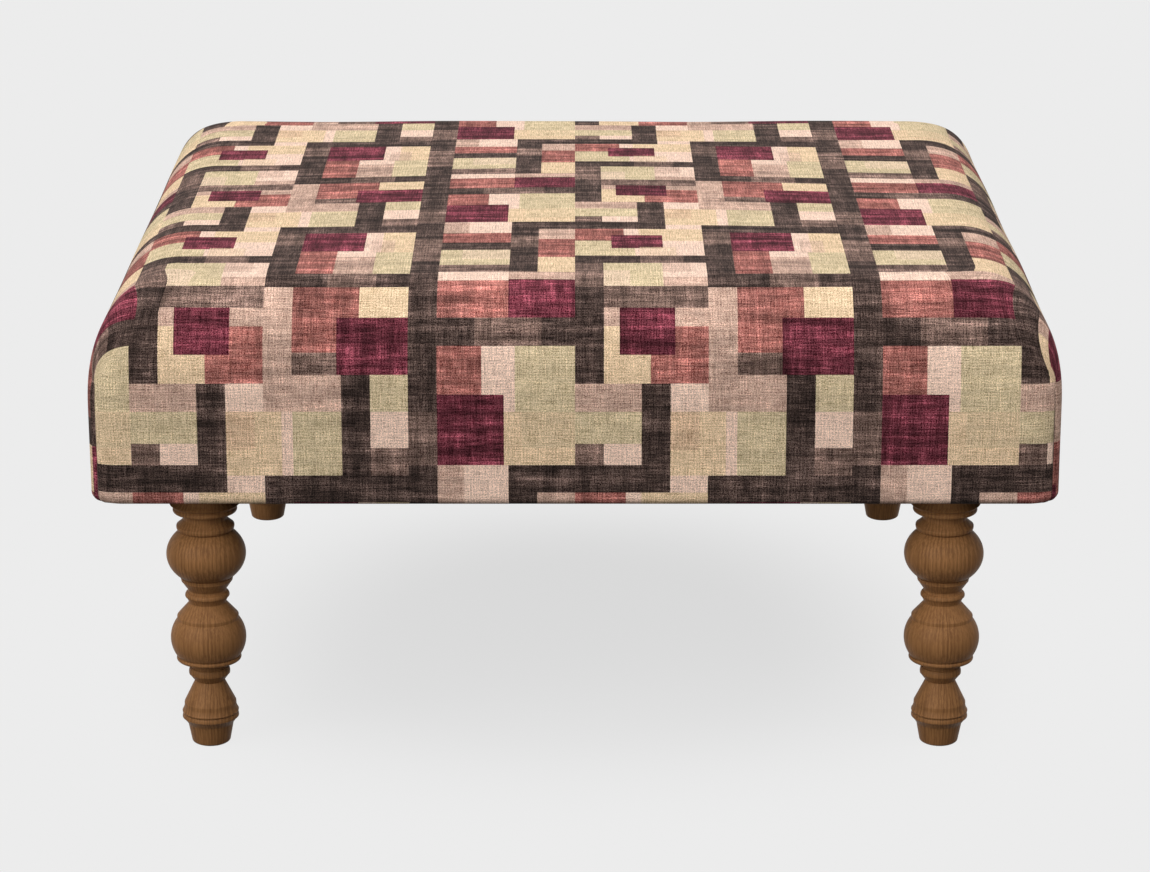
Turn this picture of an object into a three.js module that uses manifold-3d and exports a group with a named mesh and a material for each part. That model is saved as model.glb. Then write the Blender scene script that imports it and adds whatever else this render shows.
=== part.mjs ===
// Upholstered footstool on four turned legs.
// Millimetres, +Z up, front towards -Y. The origin is on the floor under the middle of the stool.
import * as THREE from "three";
import { mergeVertices } from "three/addons/utils/BufferGeometryUtils.js";
import Module from "manifold-3d";

const wasm = await Module();
wasm.setup();

// Overall sizes
const stoolWidth = 880;
const stoolDepth = 800;
const stoolHeight = 455;
const legHeightShare = 0.546;
const legInsetX = 99;
const legInsetY = 59;

// Fits
const fitGap = 0.3;
const cutOverrun = 3;
const weldDistance = 1e-5;
const roundSteps = 16;
const smallRoundSteps = 8;

// Cover: the cloth, its rolled top edge, its crown and its hem
const clothThickness = 1.2;
const rollReach = 81;
const rollHeight = 112;
const rollPower = 2.4;
const crownRise = 6;
const cornerRadius = 24.2;
const leastCornerRadius = 0.3;
const cornerSteps = 3;
const hemRadius = 7.7;
const hemSteps = 2;
const hemWidth = 27;
const rollSteps = 7;
const sideShares = [-0.62, 0, 0.62];
const crownShares = [0.72, 0.4];

// Padding
const waddingThickness = 6;
const liningThickness = 1;
const dustCoverThickness = 0.8;
const dustCoverInset = 12;

// Frame
const railThickness = 22;
const railDrop = 1.7;
const railEdgeRadius = 3;
const stretcherThickness = 22;
const stretcherDrop = 24;
const blockLength = 118;
const blockWidth = 75;
const blockHeight = 38;
const blockBevel = 34;

// Webbing
const strapWidth = 70;
const strapThickness = 1.6;
const strapEndInset = 3;
const longStrapCount = 5;
const crossStrapCount = 6;
const rampSteps = 3;

// Hanger bolt and tee nut
const boltRadius = 4;
const boltLength = 80;
const boltDepthInLeg = 38;
const boltTipLength = 7;
const boltTipRadius = 1.2;
const boltWaistRadius = 3.2;
const boltWaistLength = 6;
const boltChamfer = 1;
const nutBarrelRadius = 5.4;
const nutBarrelLength = 13;
const nutFlangeRadius = 12;
const nutFlangeThickness = 1.5;
const prongCount = 4;
const prongLength = 8;
const prongWidth = 3;
const prongThickness = 1.2;

// Frame screws, and where they go
const screwRadius = 2.5;
const screwLength = 50;
const screwHeadRadius = 4.8;
const screwHeadDepth = 2.8;
const screwHeadSink = 0.4;
const screwTipLength = 5;
const screwTipRadius = 0.5;
const screwFromBlockEnd = 23;
const screwFromBlockSide = 15;
const stretcherScrewLength = 60;

// Turned leg, from the floor up: heights are each member's own, radii are at its widest
const soleRadius = 15.3;
const footEdgeRadius = 17.4;
const footEdgeHeight = 2.2;
const footTopRadius = 21.1;
const footHeight = 20.6;
const ringRadius = 26.4;
const ringHeight = 8.1;
const ringGrooveDepth = 1.6;
const ringCount = 2;
const bellRadius = 24.2;
const bellLandHeight = 4.2;
const bellHeight = 20.2;
const waistRadius = 13.9;
const smallBeadRadius = 19.3;
const smallBeadHeight = 14.4;
const lipNeckRadius = 17.4;
const lipNeckHeight = 4.4;
const lipRadius = 30;
const lipInnerRadius = 27.6;
const lipHeight = 5.2;
const lowerBallRadius = 35;
const lowerBallHalfHeight = 34;
const lowerBallHeight = 37.3;
const lowerBallDrop = 18.6;
const grooveDepth = 0.9;
const grooveHeight = 1.4;
const shoulderRadius = 28.5;
const shoulderHeight = 3.8;
const shoulderEdge = 1.6;
const coneHeight = 10.2;
const throatRadius = 17.6;
const middleBeadRadius = 20.6;
const middleBeadHeight = 12.2;
const upperConeHeight = 8;
const stepRadius = 24.2;
const stepHeight = 3.4;
const upperBallRadius = 36.7;
const upperBallHalfHeight = 32;
const upperBallHeight = 47.2;
const upperBallDrop = 23.5;
const upperFlangeRadius = 26.9;
const upperFlangeInnerRadius = 25.3;
const upperFlangeHeight = 5.8;
const upperFlangeConeHeight = 4.6;
const neckRadius = 20.4;
const neckHeight = 7.5;
const topBeadRadius = 29.7;
const topBeadInnerRadius = 28.2;
const topBeadHeight = 4.3;
const dishRadius = 32.4;
const dishHeight = 3.6;
const collarRadius = 26.6;
const coveHeight = 4.8;
const collarHeight = 8.9;

// Steps round each swelling of the turning
const ballSteps = 8;
const beadSteps = 4;
const lipSteps = 3;

// Colours and finishes
const walnutStain = { color: 0x7a5636, roughness: 0.5, metalness: 0 };
const plainPine = { color: 0xcfa873, roughness: 0.75, metalness: 0 };
const beechBlock = { color: 0xc49a6c, roughness: 0.7, metalness: 0 };
const printedLinen = { color: 0x8d6f5d, roughness: 0.95, metalness: 0 };
const blackCambric = { color: 0x1d1c1c, roughness: 0.95, metalness: 0 };
const paleWadding = { color: 0xf1efe9, roughness: 1, metalness: 0 };
const creamFoam = { color: 0xe8dcae, roughness: 0.9, metalness: 0 };
const greyWeb = { color: 0x6d6458, roughness: 0.9, metalness: 0 };
const zincSteel = { color: 0xb9bcc0, roughness: 0.35, metalness: 1 };

// The leg's members stack up, and stretch together to its height
const legHeight = stoolHeight * legHeightShare;
const legMembers = {
  foot: footHeight,
  rings: ringHeight * ringCount,
  bellLand: bellLandHeight,
  bell: bellHeight,
  smallBead: smallBeadHeight,
  lipNeck: lipNeckHeight,
  lip: lipHeight,
  lowerBall: lowerBallHeight,
  shoulder: shoulderHeight + shoulderEdge,
  cone: coneHeight,
  middleBead: middleBeadHeight,
  upperCone: upperConeHeight,
  step: stepHeight,
  upperBall: upperBallHeight,
  flange: upperFlangeHeight + upperFlangeConeHeight,
  neck: neckHeight,
  topBead: topBeadHeight,
  dish: dishHeight,
  cove: coveHeight,
  collar: collarHeight,
};
const memberSum = Object.values(legMembers).reduce((sum, height) => sum + height, 0);
const legStretch = legHeight / memberSum;
const legOffsetX = stoolWidth / 2 - legInsetX;
const legOffsetY = stoolDepth / 2 - legInsetY;

// Levels, from the leg up and from the top down
const dustCoverBottom = legHeight + fitGap;
const coverBottom = dustCoverBottom + dustCoverThickness + fitGap;
const frameBottom = coverBottom + clothThickness + fitGap;
const blockBottom = coverBottom;
const blockTop = blockBottom + blockHeight;
const coverTop = stoolHeight - crownRise;
const springHeight = coverTop - rollHeight;
const railTop = springHeight - railDrop;
const railHeight = railTop - frameBottom;
const stretcherTop = railTop - stretcherDrop;
const strapLow = railTop + fitGap + strapThickness / 2;
const strapHigh = strapLow + strapThickness + fitGap;
const liningBottom = strapHigh + strapThickness / 2 + fitGap;
const foamBottom = liningBottom + liningThickness + fitGap;

// How far each layer lies inside the cover's outer face
const waddingInset = clothThickness + fitGap;
const railInset = waddingInset + waddingThickness + fitGap;
const railInnerInset = railInset + railThickness;
const frameHalfX = stoolWidth / 2 - railInset;
const frameHalfY = stoolDepth / 2 - railInset;
const innerHalfX = stoolWidth / 2 - railInnerInset;
const innerHalfY = stoolDepth / 2 - railInnerInset;

// Solids from three.js geometries, for cutting and joining
function toSolid(geometry) {
  const bare = geometry.clone();
  bare.deleteAttribute("normal");
  bare.deleteAttribute("uv");
  const merged = mergeVertices(bare, weldDistance);
  return new wasm.Manifold(
    new wasm.Mesh({
      numProp: 3,
      vertProperties: new Float32Array(merged.attributes.position.array),
      triVerts: new Uint32Array(merged.index.array),
    })
  );
}

function toGeometry(solid) {
  const mesh = solid.getMesh();
  const geometry = new THREE.BufferGeometry();
  geometry.setAttribute("position", new THREE.BufferAttribute(mesh.vertProperties, 3));
  geometry.setIndex(new THREE.BufferAttribute(mesh.triVerts, 1));
  geometry.computeVertexNormals();
  return geometry;
}

function cut(geometry, cutters) {
  let solid = toSolid(geometry);
  for (const cutter of cutters) {
    solid = solid.subtract(toSolid(cutter));
  }
  return toGeometry(solid);
}

function join(geometries) {
  let solid = toSolid(geometries[0]);
  for (const geometry of geometries.slice(1)) {
    solid = solid.add(toSolid(geometry));
  }
  return toGeometry(solid);
}

// A lathe profile turned about +Z: [radius, height] pairs from the axis to the axis, going up
function turned(profile, steps) {
  const points = profile.map(([radius, height]) => new THREE.Vector2(radius, height));
  return new THREE.LatheGeometry(points, steps).rotateX(Math.PI / 2);
}

function standingCylinder(radius, bottom, top, steps) {
  const height = top - bottom;
  const geometry = new THREE.CylinderGeometry(radius, radius, height, steps).rotateX(Math.PI / 2);
  return geometry.translate(0, 0, bottom + height / 2);
}

function block(minX, maxX, minY, maxY, bottom, top) {
  const geometry = new THREE.BoxGeometry(maxX - minX, maxY - minY, top - bottom);
  return geometry.translate((minX + maxX) / 2, (minY + maxY) / 2, (bottom + top) / 2);
}

// Points on an elliptical swelling, from one height to another
function swell(centreRadius, centreHeight, reach, halfHeight, from, to, steps) {
  const start = Math.asin(THREE.MathUtils.clamp((from - centreHeight) / halfHeight, -1, 1));
  const end = Math.asin(THREE.MathUtils.clamp((to - centreHeight) / halfHeight, -1, 1));
  const points = [];
  for (let i = 0; i <= steps; i += 1) {
    const angle = start + ((end - start) * i) / steps;
    points.push([centreRadius + reach * Math.cos(angle), centreHeight + halfHeight * Math.sin(angle)]);
  }
  return points;
}

// A half-round bead from its inner radius out to its widest, filling its height
function bead(innerRadius, widestRadius, bottom, height, steps) {
  const half = height / 2;
  const reach = widestRadius - innerRadius;
  return swell(innerRadius, bottom + half, reach, half, bottom, bottom + height, steps);
}

// Turned leg: each member is added on top of the last
function legProfile() {
  const points = [
    [0, 0],
    [soleRadius, 0],
    [footEdgeRadius, footEdgeHeight],
    [footTopRadius, footHeight],
  ];
  let level = footHeight;
  for (let ring = 0; ring < ringCount; ring += 1) {
    points.push(...bead(ringRadius - ringGrooveDepth, ringRadius, level, ringHeight, lipSteps));
    level += ringHeight;
  }
  points.push([bellRadius, level], [bellRadius, level + bellLandHeight]);
  level += bellLandHeight + bellHeight;
  points.push(...bead(waistRadius, smallBeadRadius, level, smallBeadHeight, beadSteps).slice(0, -1));
  level += smallBeadHeight;
  points.push([lipNeckRadius, level], [lipNeckRadius, level + lipNeckHeight]);
  level += lipNeckHeight;
  points.push(...bead(lipInnerRadius, lipRadius, level, lipHeight, lipSteps).slice(0, -1));
  level += lipHeight;
  const lowerBallCentre = level + lowerBallDrop;
  const lowerBallTop = level + lowerBallHeight;
  points.push(
    ...swell(0, lowerBallCentre, lowerBallRadius, lowerBallHalfHeight, level, lowerBallTop, ballSteps)
  );
  level = lowerBallTop;
  points.push([shoulderRadius - grooveDepth, level + grooveHeight / 2]);
  points.push([shoulderRadius, level + grooveHeight]);
  points.push([shoulderRadius, level + shoulderHeight]);
  level += shoulderHeight + shoulderEdge;
  points.push([shoulderRadius - shoulderEdge, level]);
  level += coneHeight;
  points.push([throatRadius, level]);
  points.push(...bead(throatRadius, middleBeadRadius, level, middleBeadHeight, beadSteps).slice(1));
  level += middleBeadHeight + upperConeHeight;
  points.push([stepRadius, level], [stepRadius, level + stepHeight]);
  level += stepHeight;
  const upperBallCentre = level + upperBallDrop;
  const upperBallTop = level + upperBallHeight;
  points.push(
    ...swell(0, upperBallCentre, upperBallRadius, upperBallHalfHeight, level, upperBallTop, ballSteps)
  );
  level = upperBallTop;
  points.push(...bead(upperFlangeInnerRadius, upperFlangeRadius, level, upperFlangeHeight, lipSteps));
  level += upperFlangeHeight + upperFlangeConeHeight;
  points.push([neckRadius, level], [neckRadius, level + neckHeight]);
  level += neckHeight;
  points.push(...bead(topBeadInnerRadius, topBeadRadius, level, topBeadHeight, lipSteps));
  level += topBeadHeight + dishHeight;
  points.push([dishRadius, level]);
  level += coveHeight;
  points.push([collarRadius, level], [collarRadius, level + collarHeight]);
  return points.map(([radius, height]) => [radius, height * legStretch]);
}

// The leg has a blind bore down from its top for the hanger bolt
function legGeometry() {
  const boreRadius = boltRadius + fitGap;
  const boreBottom = legHeight - boltDepthInLeg - fitGap;
  const profile = [...legProfile(), [boreRadius, legHeight], [boreRadius, boreBottom], [0, boreBottom]];
  return turned(profile, roundSteps);
}

function hangerBoltGeometry() {
  const shoulder = boltDepthInLeg - boltWaistLength;
  const profile = [
    [0, 0],
    [boltTipRadius, 0],
    [boltRadius, boltTipLength],
    [boltRadius, shoulder],
    [boltWaistRadius, shoulder],
    [boltWaistRadius, boltDepthInLeg],
    [boltRadius, boltDepthInLeg],
    [boltRadius, boltLength - boltChamfer],
    [boltRadius - boltChamfer, boltLength],
    [0, boltLength],
  ];
  return turned(profile, roundSteps);
}

// Tee nut: flange on top, barrel and prongs down, with its height zero under the flange
function prongs(extra) {
  const centre = nutFlangeRadius - prongThickness;
  const halfThickness = prongThickness / 2 + extra;
  const halfWidth = prongWidth / 2 + extra;
  const list = [];
  for (let i = 0; i < prongCount; i += 1) {
    const near = centre - halfThickness;
    const far = centre + halfThickness;
    const prong = block(near, far, -halfWidth, halfWidth, -prongLength - extra, nutFlangeThickness / 2);
    list.push(prong.rotateZ((Math.PI * (2 * i + 1)) / prongCount));
  }
  return list;
}

function teeNutGeometry() {
  const bore = boltRadius + fitGap;
  const profile = [
    [bore, -nutBarrelLength],
    [nutBarrelRadius, -nutBarrelLength],
    [nutBarrelRadius, 0],
    [nutFlangeRadius, 0],
    [nutFlangeRadius, nutFlangeThickness],
    [bore, nutFlangeThickness],
    [bore, -nutBarrelLength],
  ];
  return join([turned(profile, roundSteps), ...prongs(0)]);
}

// Countersunk screw pointing along -Z, with its head's face at height zero
function screwProfile(length, extra) {
  return [
    [0, -length - extra],
    [screwTipRadius + extra, -length - extra],
    [screwRadius + extra, -length + screwTipLength],
    [screwRadius + extra, -screwHeadDepth],
    [screwHeadRadius + extra, 0],
  ];
}

function screwGeometry(length) {
  return turned([...screwProfile(length, 0), [0, 0]], smallRoundSteps);
}

function screwCutter(length) {
  const mouth = screwHeadRadius + fitGap;
  return turned([...screwProfile(length, fitGap), [mouth, cutOverrun], [0, cutOverrun]], smallRoundSteps);
}

function turnTo(direction) {
  const down = new THREE.Vector3(0, 0, -1);
  return new THREE.Quaternion().setFromUnitVectors(down, direction);
}

const corners = [
  { name: "front_left", x: -1, y: -1 },
  { name: "front_right", x: 1, y: -1 },
  { name: "back_left", x: -1, y: 1 },
  { name: "back_right", x: 1, y: 1 },
];

// Where the screws go: each has a name, its head's place, the way it points and its length
function screwPlaces() {
  const places = [];
  const midBlock = (blockBottom + blockTop) / 2;
  for (const corner of corners) {
    const alongX = innerHalfX - fitGap - blockLength + screwFromBlockEnd;
    const alongY = innerHalfY - fitGap - blockWidth + screwFromBlockSide;
    places.push({
      name: `block_screw_${corner.name}_rail`,
      rail: corner.y < 0 ? "front" : "back",
      corner: corner.name,
      at: new THREE.Vector3(corner.x * alongX, corner.y * (frameHalfY - screwHeadSink), midBlock),
      points: new THREE.Vector3(0, -corner.y, 0),
      length: screwLength,
    });
    places.push({
      name: `block_screw_${corner.name}_side`,
      rail: corner.x < 0 ? "left" : "right",
      corner: corner.name,
      at: new THREE.Vector3(corner.x * (frameHalfX - screwHeadSink), corner.y * alongY, midBlock),
      points: new THREE.Vector3(-corner.x, 0, 0),
      length: screwLength,
    });
  }
  for (const side of [-1, 1]) {
    places.push({
      name: side < 0 ? "stretcher_screw_front" : "stretcher_screw_back",
      rail: side < 0 ? "front" : "back",
      corner: "stretcher",
      at: new THREE.Vector3(0, side * (frameHalfY - screwHeadSink), (blockBottom + stretcherTop) / 2),
      points: new THREE.Vector3(0, -side, 0),
      length: stretcherScrewLength,
    });
  }
  return places;
}

const screws = screwPlaces();

function screwCuts(test) {
  return screws.filter(test).map((screw) => {
    const cutter = screwCutter(screw.length);
    return cutter.applyQuaternion(turnTo(screw.points)).translate(screw.at.x, screw.at.y, screw.at.z);
  });
}

// Rails: planed boards with rounded long edges
function railBoard(minX, maxX, minY, maxY) {
  const alongX = maxX - minX > maxY - minY;
  const length = alongX ? maxX - minX : maxY - minY;
  const half = railThickness / 2 - railEdgeRadius;
  const shape = new THREE.Shape();
  shape.moveTo(-half - railEdgeRadius, railEdgeRadius);
  shape.absarc(-half, railEdgeRadius, railEdgeRadius, Math.PI, (3 * Math.PI) / 2, false);
  shape.absarc(half, railEdgeRadius, railEdgeRadius, (3 * Math.PI) / 2, 2 * Math.PI, false);
  shape.absarc(half, railHeight - railEdgeRadius, railEdgeRadius, 0, Math.PI / 2, false);
  shape.absarc(-half, railHeight - railEdgeRadius, railEdgeRadius, Math.PI / 2, Math.PI, false);
  const options = { depth: length, bevelEnabled: false, curveSegments: 1 };
  const board = new THREE.ExtrudeGeometry(shape, options).translate(0, 0, -length / 2).rotateX(Math.PI / 2);
  if (alongX) {
    board.rotateZ(Math.PI / 2);
  }
  return board.translate((minX + maxX) / 2, (minY + maxY) / 2, frameBottom);
}

// The front and back rails run through, and these cutters round their ends to the stool's corners
function cornerRounders(side) {
  const radius = cornerRadius - railInset;
  return [-1, 1].map((end) => {
    const centreX = end * (frameHalfX - radius);
    const centreY = side * (frameHalfY - radius);
    const outline = [];
    for (let step = 0; step <= cornerSteps; step += 1) {
      const angle = (Math.PI / 2) * (step / cornerSteps);
      const x = centreX + end * radius * Math.cos(angle);
      outline.push(new THREE.Vector2(x, centreY + side * radius * Math.sin(angle)));
    }
    const outX = end * (frameHalfX + cutOverrun);
    const outY = side * (frameHalfY + cutOverrun);
    outline.push(new THREE.Vector2(centreX, outY), new THREE.Vector2(outX, outY));
    outline.push(new THREE.Vector2(outX, centreY));
    const options = { depth: railHeight + cutOverrun + cutOverrun, bevelEnabled: false };
    const waste = new THREE.ExtrudeGeometry(new THREE.Shape(outline), options);
    return waste.translate(0, 0, frameBottom - cutOverrun);
  });
}

function longRailGeometry(side) {
  const outer = side * frameHalfY;
  const inner = side * innerHalfY;
  const board = railBoard(-frameHalfX, frameHalfX, Math.min(outer, inner), Math.max(outer, inner));
  const name = side < 0 ? "front" : "back";
  return cut(board, [...cornerRounders(side), ...screwCuts((screw) => screw.rail === name)]);
}

function sideRailGeometry(side) {
  const outer = side * frameHalfX;
  const inner = side * innerHalfX;
  const reach = innerHalfY - fitGap;
  const board = railBoard(Math.min(outer, inner), Math.max(outer, inner), -reach, reach);
  const name = side < 0 ? "left" : "right";
  return cut(board, screwCuts((screw) => screw.rail === name));
}

function stretcherGeometry() {
  const half = stretcherThickness / 2;
  const reach = innerHalfY - fitGap;
  const board = block(-half, half, -reach, reach, blockBottom, stretcherTop);
  return cut(board, screwCuts((screw) => screw.corner === "stretcher"));
}

// Corner block: bevelled on its inner corner, bored for the bolt and slotted for the prongs
function cornerBlockGeometry(corner) {
  const outerX = innerHalfX - fitGap;
  const outerY = innerHalfY - fitGap;
  const outline = [
    [outerX, outerY],
    [outerX - blockLength, outerY],
    [outerX - blockLength, outerY - blockWidth + blockBevel],
    [outerX - blockLength + blockBevel, outerY - blockWidth],
    [outerX, outerY - blockWidth],
  ];
  const placed = outline.map(([x, y]) => new THREE.Vector2(x * corner.x, y * corner.y));
  const options = { depth: blockHeight, bevelEnabled: false };
  const body = new THREE.ExtrudeGeometry(new THREE.Shape(placed), options).translate(0, 0, blockBottom);
  const legX = corner.x * legOffsetX;
  const legY = corner.y * legOffsetY;
  const boreRadius = nutBarrelRadius + fitGap;
  const bore = standingCylinder(boreRadius, blockBottom - cutOverrun, blockTop + cutOverrun, roundSteps);
  const slots = prongs(fitGap).map((slot) => slot.translate(legX, legY, blockTop + fitGap));
  const cutters = [bore.translate(legX, legY, 0), ...slots];
  return cut(body, [...cutters, ...screwCuts((screw) => screw.corner === corner.name)]);
}

// Webbing: a strap's centre line rises and dips as it passes over and under the straps it crosses
function strapLine(halfSpan, crossings, firstHigh) {
  const pitch = (2 * halfSpan) / crossings;
  const flat = strapWidth / 2 + strapThickness;
  const start = -halfSpan - railThickness + strapEndInset;
  const line = [[start, strapLow]];
  let last = strapLow;
  let lastEnd = -halfSpan;
  for (let i = 0; i <= crossings; i += 1) {
    const isEnd = i === crossings;
    const centre = -halfSpan + pitch * (i + 1 / 2);
    const high = (i % 2 === 0) === firstHigh;
    const next = isEnd || !high ? strapLow : strapHigh;
    const from = lastEnd;
    const to = isEnd ? halfSpan : centre - flat;
    for (let step = 0; step <= rampSteps; step += 1) {
      const share = step / rampSteps;
      const eased = (1 - Math.cos(Math.PI * share)) / 2;
      line.push([from + (to - from) * share, last + (next - last) * eased]);
    }
    last = next;
    lastEnd = centre + flat;
  }
  line.push([-start, strapLow]);
  return line;
}

function strapGeometry(halfSpan, crossings, firstHigh) {
  const line = strapLine(halfSpan, crossings, firstHigh);
  const half = strapThickness / 2;
  const above = line.map(([x, z]) => new THREE.Vector2(x, z + half)).reverse();
  const below = line.map(([x, z]) => new THREE.Vector2(x, z - half));
  const shape = new THREE.Shape([...below, ...above]);
  const options = { depth: strapWidth, bevelEnabled: false };
  const strap = new THREE.ExtrudeGeometry(shape, options).translate(0, 0, -strapWidth / 2);
  return strap.rotateX(Math.PI / 2);
}

// Soft forms: rings of a rounded rectangle, lofted from one closing point to another
function planRing(halfX, halfY, radius, height) {
  const ring = [];
  const straightX = halfX - radius;
  const straightY = halfY - radius;
  for (let side = 0; side < 4; side += 1) {
    const centreX = side === 0 || side === 3 ? straightX : -straightX;
    const centreY = side < 2 ? straightY : -straightY;
    for (let step = 0; step <= cornerSteps; step += 1) {
      const angle = (Math.PI / 2) * (side + step / cornerSteps);
      ring.push([centreX + radius * Math.cos(angle), centreY + radius * Math.sin(angle)]);
    }
    for (const share of sideShares) {
      if (side % 2 === 0) {
        ring.push([side === 0 ? -share * straightX : share * straightX, side === 0 ? halfY : -halfY]);
      } else {
        ring.push([side === 1 ? -halfX : halfX, side === 1 ? -share * straightY : share * straightY]);
      }
    }
  }
  return ring.map(([x, y]) => new THREE.Vector3(x, y, height));
}

function crownLift(x, y) {
  const acrossX = Math.min(Math.abs(x) / (stoolWidth / 2 - rollReach), 1);
  const acrossY = Math.min(Math.abs(y) / (stoolDepth / 2 - rollReach), 1);
  return crownRise * (1 - acrossX ** 2) ** 2 * (1 - acrossY ** 2) ** 2;
}

// The rolled edge at one inset, as steps in from the side and up, cut off below a height
function rollSection(inset, fromHeight) {
  const reach = rollReach - inset;
  const rise = rollHeight - inset;
  const whole = [];
  for (let step = 0; step <= rollSteps; step += 1) {
    const angle = (Math.PI / 2) * (step / rollSteps);
    const offset = inset + reach * (1 - Math.cos(angle) ** (2 / rollPower));
    whole.push([offset, springHeight + rise * Math.sin(angle) ** (2 / rollPower)]);
  }
  const first = whole.findIndex(([, height]) => height > fromHeight);
  const [lowOffset, lowHeight] = whole[first - 1];
  const [highOffset, highHeight] = whole[first];
  const share = (fromHeight - lowHeight) / (highHeight - lowHeight);
  const edge = [lowOffset + (highOffset - lowOffset) * share, fromHeight];
  return [edge, ...whole.slice(first)];
}

// Rings of the rolled edge from a height up, then of the crowned top
function rollRings(inset, fromHeight) {
  const radius = cornerRadius - inset;
  const rings = rollSection(inset, fromHeight).map(([offset, height]) =>
    planRing(stoolWidth / 2 - offset, stoolDepth / 2 - offset, radius, height)
  );
  for (const share of crownShares) {
    const halfX = (stoolWidth / 2 - rollReach) * share;
    const halfY = (stoolDepth / 2 - rollReach) * share;
    const ring = planRing(halfX, halfY, radius * share, coverTop - inset);
    rings.push(ring.map((p) => new THREE.Vector3(p.x, p.y, p.z + crownLift(p.x, p.y))));
  }
  return rings;
}

function crownPoint(inset) {
  return new THREE.Vector3(0, 0, stoolHeight - inset);
}

// Rising and falling bands are split along the same diagonal, so nested layers stay parallel
function loft(startPoint, rings, endPoint) {
  const count = rings[0].length;
  const points = [startPoint, ...rings.flat(), endPoint];
  const endIndex = points.length - 1;
  const index = [];
  for (let j = 0; j < count; j += 1) {
    const next = (j + 1) % count;
    index.push(0, 1 + next, 1 + j);
    for (let i = 0; i + 1 < rings.length; i += 1) {
      const from = 1 + i * count;
      const to = from + count;
      const rises = rings[i + 1][j].z > rings[i][j].z;
      const [a, b, c, d] = [from + j, from + next, to + next, to + j];
      index.push(...(rises ? [a, b, c, a, c, d] : [a, b, d, b, c, d]));
    }
    const last = 1 + (rings.length - 1) * count;
    index.push(last + j, last + next, endIndex);
  }
  const geometry = new THREE.BufferGeometry().setFromPoints(points);
  geometry.setIndex(index);
  geometry.computeVertexNormals();
  return geometry;
}

function insetRing(inset, height) {
  const radius = Math.max(cornerRadius - inset, leastCornerRadius);
  return planRing(stoolWidth / 2 - inset, stoolDepth / 2 - inset, radius, height);
}

// Cover: inner face from the crown down to the hem, under the rails, and the outer face back up
function coverGeometry() {
  const inner = rollRings(clothThickness, springHeight).reverse();
  const bend = hemRadius - clothThickness;
  for (let step = 0; step <= hemSteps; step += 1) {
    const angle = ((Math.PI / 2) * step) / hemSteps;
    const inset = clothThickness + bend * (1 - Math.cos(angle));
    inner.push(insetRing(inset, coverBottom + hemRadius - bend * Math.sin(angle)));
  }
  inner.push(insetRing(hemWidth, coverBottom + clothThickness));
  const outer = [insetRing(hemWidth, coverBottom)];
  for (let step = hemSteps; step >= 0; step -= 1) {
    const angle = ((Math.PI / 2) * step) / hemSteps;
    const inset = hemRadius * (1 - Math.cos(angle));
    outer.push(insetRing(inset, coverBottom + hemRadius - hemRadius * Math.sin(angle)));
  }
  outer.push(...rollRings(0, springHeight));
  return loft(crownPoint(clothThickness), [...inner, ...outer], crownPoint(0));
}

// The top wadding laps down over the rails to where the roll springs from
function topWaddingGeometry() {
  const innerInset = waddingInset + waddingThickness;
  const inner = rollRings(innerInset, springHeight + fitGap).reverse();
  const outer = rollRings(waddingInset, springHeight + fitGap);
  return loft(crownPoint(innerInset), [...inner, ...outer], crownPoint(waddingInset));
}

function foamGeometry() {
  const floor = new THREE.Vector3(0, 0, foamBottom);
  return loft(floor, rollRings(railInset, foamBottom), crownPoint(railInset));
}

function sideWaddingGeometry(alongX, side) {
  const outer = side * ((alongX ? stoolDepth : stoolWidth) / 2 - waddingInset);
  const inner = outer - side * waddingThickness;
  const reach = (alongX ? stoolWidth : stoolDepth) / 2 - cornerRadius;
  const low = Math.min(outer, inner);
  const high = Math.max(outer, inner);
  const bottom = coverBottom + hemRadius;
  return alongX
    ? block(-reach, reach, low, high, bottom, springHeight)
    : block(low, high, -reach, reach, bottom, springHeight);
}

// A flat cloth with the stool's plan, so far inside the cover's outer face
function flatCloth(inset, bottom, thickness) {
  const top = bottom + thickness;
  const rings = [insetRing(inset, bottom), insetRing(inset, top)];
  return loft(new THREE.Vector3(0, 0, bottom), rings, new THREE.Vector3(0, 0, top));
}

function liningGeometry() {
  return flatCloth(railInset + strapEndInset, liningBottom, liningThickness);
}

function dustCoverGeometry() {
  const sheet = flatCloth(dustCoverInset, dustCoverBottom, dustCoverThickness);
  const low = dustCoverBottom - cutOverrun;
  const high = coverBottom + cutOverrun;
  const holes = corners.map((corner) => {
    const hole = standingCylinder(boltRadius + fitGap, low, high, roundSteps);
    return hole.translate(corner.x * legOffsetX, corner.y * legOffsetY, 0);
  });
  return cut(sheet, holes);
}

// Assembly
const stool = new THREE.Group();

function place(name, geometry, finish, parent = stool) {
  const mesh = new THREE.Mesh(geometry, new THREE.MeshStandardMaterial(finish));
  mesh.name = name;
  parent.add(mesh);
  return mesh;
}

for (const corner of corners) {
  const legGroup = new THREE.Group();
  legGroup.position.set(corner.x * legOffsetX, corner.y * legOffsetY, 0);
  stool.add(legGroup);
  place(`leg_${corner.name}`, legGeometry(), walnutStain, legGroup);
  const bolt = place(`hanger_bolt_${corner.name}`, hangerBoltGeometry(), zincSteel, legGroup);
  bolt.position.z = legHeight - boltDepthInLeg;
  const nut = place(`tee_nut_${corner.name}`, teeNutGeometry(), zincSteel, legGroup);
  nut.position.z = blockTop + fitGap;
  place(`corner_block_${corner.name}`, cornerBlockGeometry(corner), beechBlock);
}

place("rail_front", longRailGeometry(-1), plainPine);
place("rail_back", longRailGeometry(1), plainPine);
place("rail_left", sideRailGeometry(-1), plainPine);
place("rail_right", sideRailGeometry(1), plainPine);
place("centre_stretcher", stretcherGeometry(), plainPine);

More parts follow.
